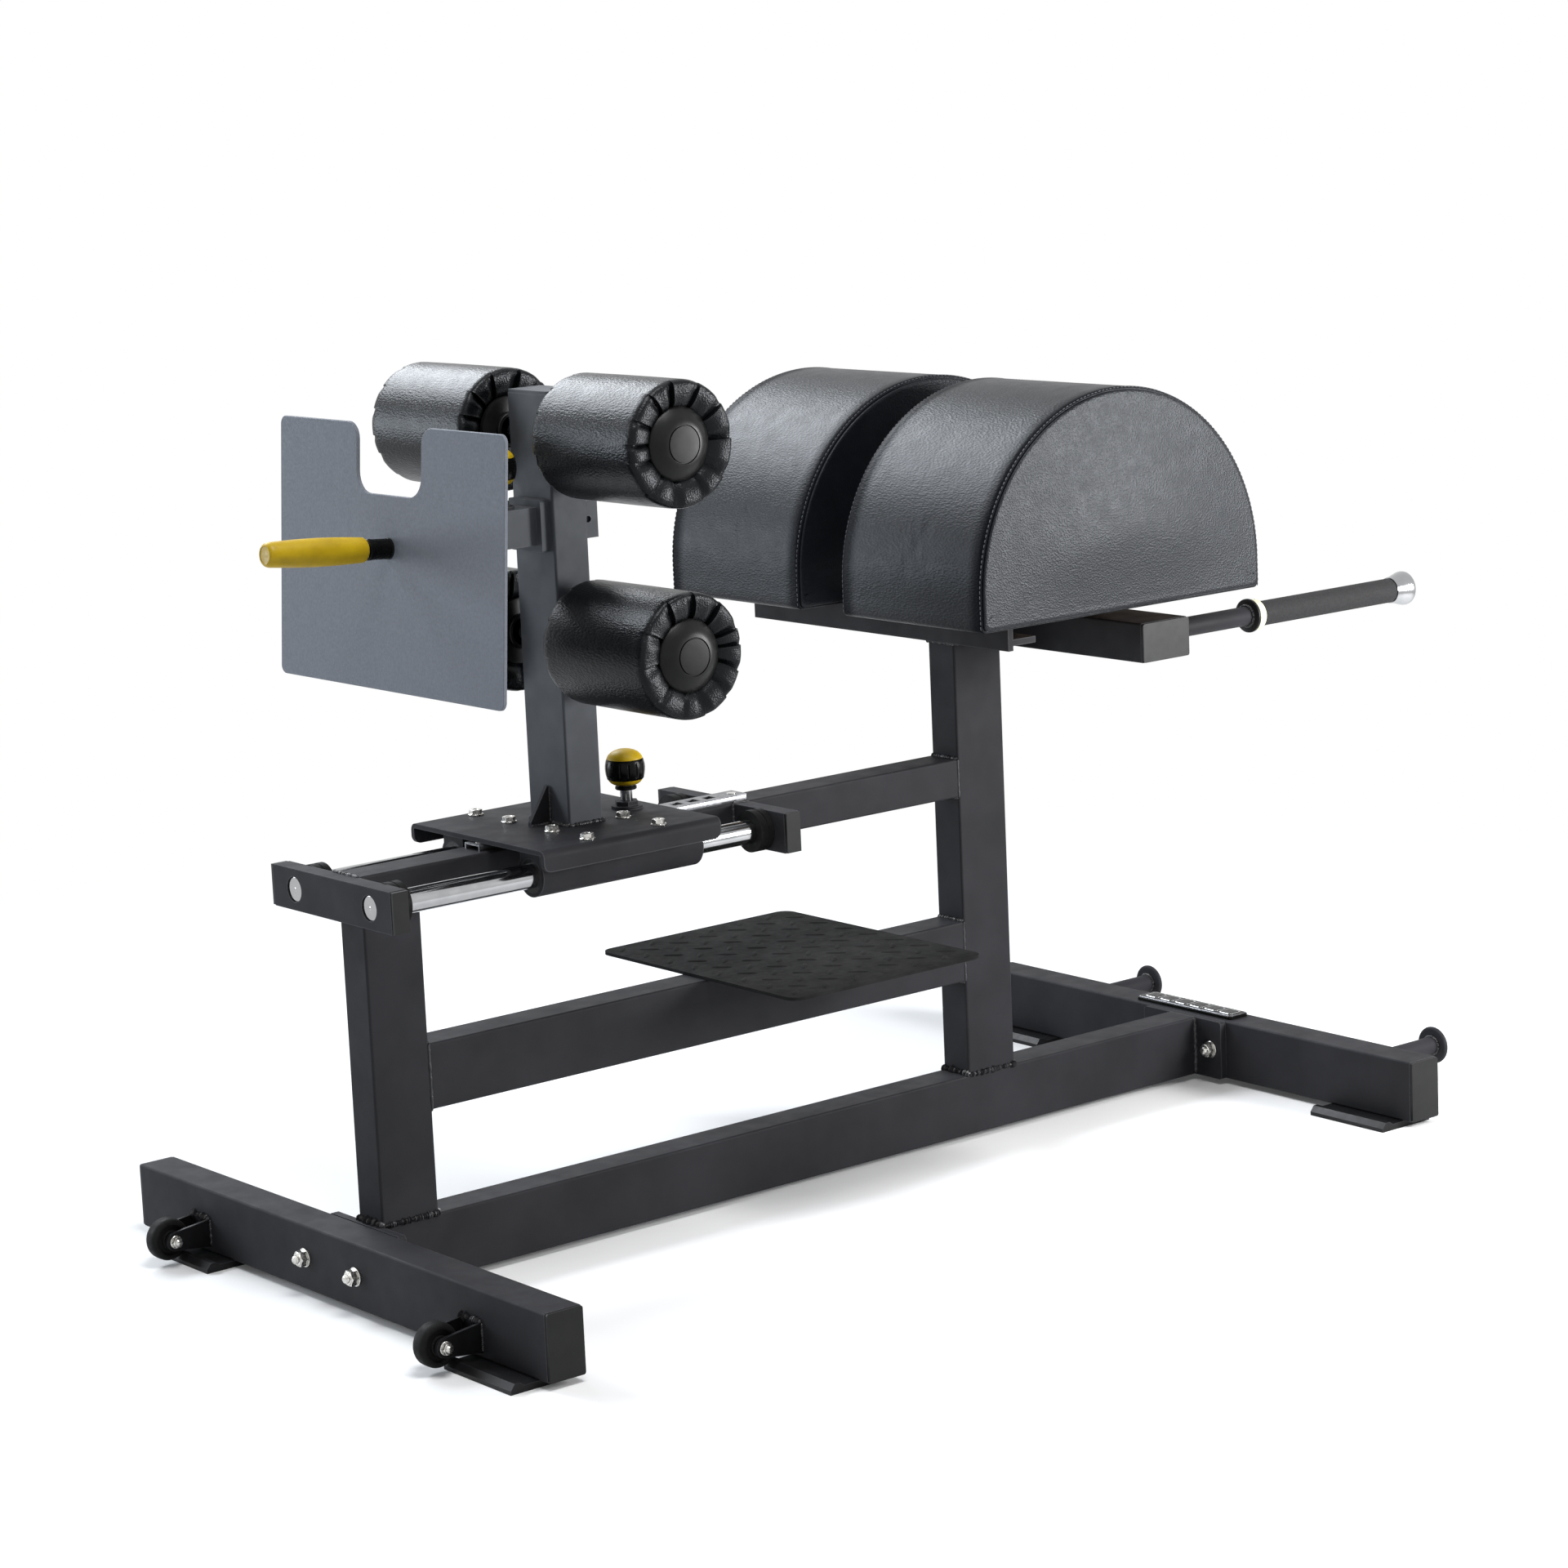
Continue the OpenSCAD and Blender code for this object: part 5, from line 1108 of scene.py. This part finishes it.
for s in (-1, 1):
    hub = (WHEEL_X, s * WHEEL_Y, WHEEL_Z)
    axles += [washer(16, 1.5, moved(hub, RIGHTWARD, 20), RIGHTWARD),
              hexagon(12.4, 5.0, moved(hub, RIGHTWARD, 21.5), RIGHTWARD, 0.2),
              stud(8, 2.0, moved(hub, RIGHTWARD, 26.2), RIGHTWARD, 1.25),
              washer(16, 2, moved(hub, LEFTWARD, 20), LEFTWARD),
              hexagon(12.4, 4.8, moved(hub, LEFTWARD, 22), LEFTWARD),
              turned([(4, -20), (4, 20)], hub, LEFTWARD, 24)]
make_piece("wheel_axles_detail", *together(*axles), zinc, "frame", "zinc_fasteners", replaces=["wheel_axles"])
print("axle pieces", len(axles))

# %% [markdown]
# ## Rod ends
# The guide rods are sawn and faced on a lathe, so their ends show fine rings round a centre hole. The rings
# are steps of 0.06 mm in the profile, which catch the light better than a bump does.

# %% Faced ends of the guide rods
ROD_END_X, ROD_Y, ROD_Z = 36, 79, 475
facing = [(0.0, 0.5), (1.6, 0.55), (2.0, 0.25), (2.6, 0.3)]
facing += [(2.6 + k * 0.55, 0.32 + 0.06 * (k % 2)) for k in range(1, 21)] + [(14.4, 0.3), (14.9, 0.0)]
facing.reverse()
faced = [turned(facing, (ROD_END_X, s * ROD_Y, ROD_Z), FORWARD, 48) for s in (-1, 1)]
make_piece("rod_ends_faced", *together(*faced), bright, "frame", "bright_rod", sharp=60)
print("rod ends", len(faced))

# %% [markdown]
# ## Foot plate
# The plate is laser cut from 5 mm sheet and coated in a lighter grey. Its cut edge is broken with a small
# chamfer, and that thin line of light round the plate is what makes it read as sheet metal. So the outline
# is drawn again here and given a chamfer on both faces.

# %% Foot plate sheet
SHEET, CHAMFER = 5.0, 0.7
PLATE_HALF, PLATE_TALL, PLATE_CORNER = 230.5, 309.0, 10.0
NOTCH_HALF, NOTCH_LOW, NOTCH_R, MOUTH_R = 66.0, 227.6, 25.0, 20.0


def arc(cx, cy, r, start, stop, steps=8):
    """Points on a circle, from one angle to another in degrees."""
    angles = [math.radians(start + (stop - start) * k / steps) for k in range(steps + 1)]
    return [(cx + r * math.cos(a), cy + r * math.sin(a)) for a in angles]


def foot_outline():
    """The plate seen from the front: its left half up to the notch, then the same mirrored."""
    r, mouth_z = PLATE_CORNER, PLATE_TALL - MOUTH_R
    half = arc(PLATE_HALF - r, r, r, -90, 0) + arc(PLATE_HALF - r, PLATE_TALL - r, r, 0, 90)
    half += arc(NOTCH_HALF + MOUTH_R, mouth_z, MOUTH_R, 90, 180)
    half += [(NOTCH_HALF, mouth_z - 12 * k) for k in (1, 2)]
    half += arc(NOTCH_HALF - NOTCH_R, NOTCH_LOW + NOTCH_R, NOTCH_R, 0, -90)
    return half + [(-y, z) for y, z in reversed(half)]


def sheet_piece(outline, thick, chamfer):
    """Points (y, z, depth) and faces of a sheet with broken edges, made of rings and two capping faces."""
    n = len(outline)
    inner = []
    for k, (y, z) in enumerate(outline):
        (y0, z0), (y1, z1) = outline[k - 1], outline[(k + 1) % n]
        ty, tz = y1 - y0, z1 - z0
        size = math.hypot(ty, tz)
        inner.append((y - tz / size * chamfer, z + ty / size * chamfer))
    rings = ((inner, 0.0), (outline, chamfer), (outline, thick - chamfer), (inner, thick))
    points = [(y, z, depth) for ring, depth in rings for y, z in ring]
    return points, [tuple(reversed(range(n))), tuple(range(3 * n, 4 * n))] + bands(len(rings), n)


flat_points, sheet_faces = sheet_piece(foot_outline(), SHEET, CHAMFER)
sheet_points = [PLATE_FOOT + LEFTWARD * y + up_plate * z - pull * depth for y, z, depth in flat_points]
make_piece("foot_plate_sheet", sheet_points, sheet_faces, plate_coat, "foot_plate_slider", "foot_plate_coat",
           sharp=25, replaces=["foot_plate"])
print("foot plate outline points", len(foot_outline()))

# %% [markdown]
# ## Tread plate
# The step is tear plate: rolled lozenges in two directions, 48 mm apart, that stand 1.7 mm proud. One
# lozenge is a small curved grid, and the pattern repeats it, with the second direction in the gaps. They
# are real relief, because a bump in the finish looks flat from a low side.

# %% Lozenges
TREAD_X, TREAD_HALF, TREAD_TOP = (556.4, 863.6), 195.6, 289.95
PITCH_X, PITCH_Y = 48, 49.7
FIRST_X, FIRST_Y = 554, -196.9
LOZENGE_L, LOZENGE_W, LOZENGE_TALL = 27.0, 8.5, 1.7
STEPS_L, STEPS_W = 10, 6


def lozenge(cx, cy, turn):
    """One lozenge round (cx, cy), cut off at the plate's edges."""
    points = []
    for i in range(STEPS_L + 1):
        u = -1 + 2 * i / STEPS_L
        for j in range(STEPS_W + 1):
            v = -1 + 2 * j / STEPS_W
            a = u * LOZENGE_L / 2
            b = v * LOZENGE_W / 2 * (1 - u * u) ** 0.7
            x = max(TREAD_X[0], min(TREAD_X[1], cx + a * math.cos(turn) - b * math.sin(turn)))
            y = max(-TREAD_HALF, min(TREAD_HALF, cy + a * math.sin(turn) + b * math.cos(turn)))
            points.append((x, y, TREAD_TOP + LOZENGE_TALL * (1 - v * v) ** 0.75 * (1 - u * u) ** 0.45))
    row = STEPS_W + 1
    return points, [(i * row + j, (i + 1) * row + j, (i + 1) * row + j + 1, i * row + j + 1)
                    for i in range(STEPS_L) for j in range(STEPS_W)]


def on_plate(x, y):
    """Whether a lozenge's middle is on the plate and clear of the cut corners beside the frame."""
    near_corner = abs(x - (TREAD_X[0] + TREAD_X[1]) / 2) > 132 and abs(y) > 174
    return 558 < x < 862 and abs(y) < 192 and not near_corner


lozenges = []
for i in range(-1, 7):
    for j in range(-1, 9):
        for shift, turn in ((0.0, -math.pi / 4), (0.5, math.pi / 4)):
            x, y = FIRST_X + PITCH_X * (i + shift), FIRST_Y + PITCH_Y * (j + shift)
            if on_plate(x, y):
                lozenges.append(lozenge(x, y, turn))
make_piece("tread_lozenges", *together(*lozenges), tread, "frame", "powder_coat", sharp=70)
print("lozenges", len(lozenges))

# %% [markdown]
# ## Index strip
# The strip is folded from galvanised sheet: its narrow sides bend down with a soft radius. The solid has
# only a sharp edge there, so two thin rounded sides are laid over it.

# %% Folded sides of the strip
STRIP_X, STRIP_L, STRIP_Z = 235.0, 405.0, 500.0
FOLD = [(15.05, 0.6), (15.45, 1.1), (15.45, 5.6), (15.05, 6.5), (14.4, 7.1)]  # Y and height over STRIP_Z
strip_sides = []
for s in (-1, 1):
    points = [(x, s * y, STRIP_Z + z) for x in (STRIP_X + 1, STRIP_X + STRIP_L - 1) for y, z in FOLD]
    n = len(FOLD)
    faces = [(k, k + n, k + n + 1, k + 1) if s < 0 else (k, k + 1, k + n + 1, k + n) for k in range(n - 1)]
    strip_sides.append((points, faces))
make_piece("strip_folded_sides", *together(*strip_sides), galvanised, "frame", "galvanised")
print("folded sides", STRIP_L - 2, "mm long")

# %% [markdown]
# ## Badge plate
# A cast plate is glued on the top of the rear bar: a black foot, a grey metal rim and a black face with six
# plain tiles, bright with a black middle. Every layer is the same rounded plate, set in a little further.


# %% Badge plate
def flat_plate(xs, ys, zs, inset, corner, soft):
    """A plate with round corners and a softened top edge, set in from its outline by inset."""
    x0, x1, y0, y1 = xs[0] + inset, xs[1] - inset, ys[0] + inset, ys[1] - inset
    outline = []
    for cx, cy, start in ((x1 - corner, y0 + corner, -90), (x1 - corner, y1 - corner, 0),
                          (x0 + corner, y1 - corner, 90), (x0 + corner, y0 + corner, 180)):
        outline += [(cx, cy, math.radians(start + 90 * k / 6)) for k in range(7)]
    points, n = [], len(outline)
    for r, z in ((corner, zs[0]), (corner, zs[1] - soft), (corner - soft, zs[1])):
        points += [(cx + r * math.cos(a), cy + r * math.sin(a), z) for cx, cy, a in outline]
    return points, bands(3, n) + [tuple(range(2 * n, 3 * n)), tuple(reversed(range(n)))]


BADGE_X, BADGE_Y = (1411.5, 1446.5), (-74.5, 107.5)
TILE_X, TILE_Y, TILE_WIDE, TILE_STEP, TILE_RIM = (1418, 1440), -68.5, 24.5, 28.5, 2.4
BADGE_LAYERS = (("badge_foot", (80, 84.4), 0.0, 5, 0.4, gloss_black, "black_plastic"),
                ("badge_rim", (84.3, 85.4), 1.5, 4.4, 0.3, galvanised, "galvanised"),
                ("badge_face_blank", (85.3, 85.8), 3.1, 3.6, 0.2, gloss_black, "black_plastic"))
for name, zs, inset, corner, soft, finish, slot in BADGE_LAYERS:
    make_piece(name, *flat_plate(BADGE_X, BADGE_Y, zs, inset, corner, soft), finish, "frame", slot)
tile_ys = [(TILE_Y + TILE_STEP * i, TILE_Y + TILE_STEP * i + TILE_WIDE) for i in range(6)]
tiles = [flat_plate(TILE_X, ys, (85.7, 86.5), 0.0, 4.5, 0.25) for ys in tile_ys]
tile_middles = [flat_plate(TILE_X, ys, (86.4, 86.9), TILE_RIM, 3, 0.2) for ys in tile_ys]
make_piece("badge_tiles", *together(*tiles), bright, "frame", "bright_rod")
make_piece("badge_tile_middles", *together(*tile_middles), gloss_black, "frame", "black_plastic")
print("badge", BADGE_Y[1] - BADGE_Y[0], "mm long, with", len(tiles), "plain tiles")

# %% [markdown]
# ## Weld beads
# The frame is welded by hand, and the powder coat covers the beads without hiding them. A bead is a row of
# small overlapping puddles. Here it is a thin tube swept along the joint, with its radius swelling every
# two millimetres or so and wandering a little. Blender can give a curve a round section too, but its
# radius then needs a point for every puddle.

# %% Bead
BEAD_STEP = 0.85
BEAD_SIDES = 8


def bead(path, radius, rough, closed=False):
    """A rippled tube along a path of machine points."""
    path = [Vector(p) for p in path] + ([Vector(path[0])] if closed else [])
    stops = []
    for a, b in zip(path, path[1:]):
        steps = max(2, int((b - a).length / BEAD_STEP))
        stops += [(a.lerp(b, k / steps), (b - a).normalized()) for k in range(steps)]
    stops.append((path[-1], (path[-1] - path[-2]).normalized()))
    angles = [2 * math.pi / BEAD_SIDES * i for i in range(BEAD_SIDES)]
    points, far = [], 0.0
    for k, (p, direction) in enumerate(stops):
        _, u, v = across(direction)
        far += BEAD_STEP
        puddle, wander = math.sin(far * 2.7), 1.1 * noise.noise(p * 0.22)
        swell = 1 + rough * (0.5 * puddle + wander + 0.5 * noise.noise(p * 0.9))
        r = radius * (swell if 0 < k < len(stops) - 1 else 0.35)
        sway = [noise.noise(p * 0.3 + shift) for shift in (BACKWARD * 9, LEFTWARD * 9)]
        drift = Vector((*sway, 0)) * radius * 0.2
        points += [p + drift + (u * math.cos(a) + v * math.sin(a)) * r for a in angles]
    return points, bands(len(stops), BEAD_SIDES)


# %% Paths of beads
def ring_path(centre, radius, steps=28):
    """A circle round a tube that runs along X."""
    _, u, v = across(BACKWARD)
    angles = [2 * math.pi * k / steps for k in range(steps)]
    return [Vector(centre) + (u * math.cos(a) + v * math.sin(a)) * radius for a in angles]


def box_path(x0, x1, half, z):
    """A rectangle round a post."""
    return [(x0, -half, z), (x1, -half, z), (x1, half, z), (x0, half, z)]


def over(x, half, z):
    """Straight over the machine's middle."""
    return [(x, -half, z), (x, half, z)]


def upright(x, y, z0, z1):
    """Straight up."""
    return [(x, y, z0), (x, y, z1)]


print("a bead has", BEAD_SIDES, "sides and a ring every", BEAD_STEP, "mm")

# %% [markdown]
# ### Where the beads run
# Every joint of the real frame has its bead: round the foot of both uprights, at the ends of the beams,
# along the rod bar and the wheel forks, and round the pegs and handles. A run is a path, a radius in
# millimetres, how rough it is, and whether it closes.

# %% Beads on the frame
FRONT_POST, MAIN_POST = (60, 140), (981, 1061)
TUBE_HALF, BASE_TOP = 25, 80.5
BEAMS = ((140, 206, 286), (981, 206, 286), (981, 450, 500))  # X of the joint, low and high face of the beam
ROD_BAR = (450, 500)
BACK_ROD_BAR = (610.5, 633)
CROSS_TUBE_LOW = 650.5
FORK_X, FORK_HALF = -0.2, 20
PEG_Y, PEG_Z = 272.5, 44
# Round the pegs and the handles' tubes: X, radius of the ring, radius of the bead, how rough it is.
PEG_RINGS = ((1453.5, 12, 2.2, 0.3), (1591.6, 12.4, 2.0, 0.35))
HANDLE_RINGS = ((1141.3, 12.6, 1.8, 0.3), (1297.6, 13.2, 2.0, 0.5))

runs = []
for x0, x1 in (FRONT_POST, MAIN_POST):
    for y in (-TUBE_HALF, TUBE_HALF):
        runs.append(([(x0 - 1, y, BASE_TOP), (x1 + 1, y, BASE_TOP)], 2.8, 0.7))
    runs += [(over(x0, 27, 81), 4.4, 0.8), (over(x1, TUBE_HALF, BASE_TOP), 3.4, 0.5)]
for x, z0, z1 in BEAMS:
    runs += [(over(x, 24, z1), 3.0, 0.3), (over(x, 24, z0), 3.0, 0.3)]
    runs += [(upright(x, s * 24.6, z0, z1), 1.6, 0.3) for s in (-1, 1)]
for s in (-1, 1):
    y, wheel_y, peg_y, handle_y = s * TUBE_HALF, s * WHEEL_Y, s * PEG_Y, s * HANDLE_Y
    runs += [([(60, s * 24.8, ROD_BAR[0]), (140, s * 24.8, ROD_BAR[0])], 1.7, 0.3),
             (upright(56.5, y, ROD_BAR[0] + 1, ROD_BAR[1] - 1), 2.4, 0.3),
             ([(BACK_ROD_BAR[0], y, 451), (BACK_ROD_BAR[0], y, 500), (BACK_ROD_BAR[1], y, 500),
               (BACK_ROD_BAR[1], y, 451)], 2.2, 0.3)]
    runs += [(upright(x, y, 2, 79), 3.2, 0.2) for x in (FRONT_BAR[1], REAR_BAR[0])]
    runs.append(([(FORK_X, wheel_y - FORK_HALF, 42.5), (FORK_X, wheel_y + FORK_HALF, 42.5)], 3.2, 1.0))
    runs += [(upright(FORK_X, wheel_y + e, 8, 42), 1.8, 0.4) for e in (-FORK_HALF, FORK_HALF)]
    runs += [(ring_path((x, peg_y, PEG_Z), ring), r, rough, True) for x, ring, r, rough in PEG_RINGS]
    runs += [(ring_path((x, handle_y, HANDLE_Z), ring), r, rough, True) for x, ring, r, rough in HANDLE_RINGS]
runs += [(over(56.5, TUBE_HALF, ROD_BAR[1]), 2.4, 0.3),
         (box_path(*MAIN_POST, TUBE_HALF, CROSS_TUBE_LOW), 2.6, 0.35, True)]
beads = [bead(*run) for run in runs]
make_piece("frame_weld_beads", *together(*beads), weld_coat, "frame", "powder_coat", sharp=60)
print("frame beads", len(runs))

# %% [markdown]
# ### Beads that slide along
# The post, its gusset and the sleeve through it are welded to the carriage, so their beads ride on the
# carriage and not on the frame.

# %% Beads on the carriage
POST_FACES = (350, 400)
runs = [(box_path(*POST_FACES, 40, 515), 2.8, 0.3, True)]
runs += [([(320, s * 3, 514.8), (349, s * 3, 514.8), (349.6, s * 3, 559)], 2.0, 0.35) for s in (-1, 1)]
for x in POST_FACES:
    runs.append(([(x, -22.5, 853), (x, 22.5, 853), (x, 22.5, ARM_TOP), (x, -22.5, ARM_TOP)], 2.2, 0.35, True))
beads = [bead(*run) for run in runs]
make_piece("carriage_weld_beads", *together(*beads), weld_coat, "carriage", "powder_coat", sharp=60)
print("carriage beads", len(runs))
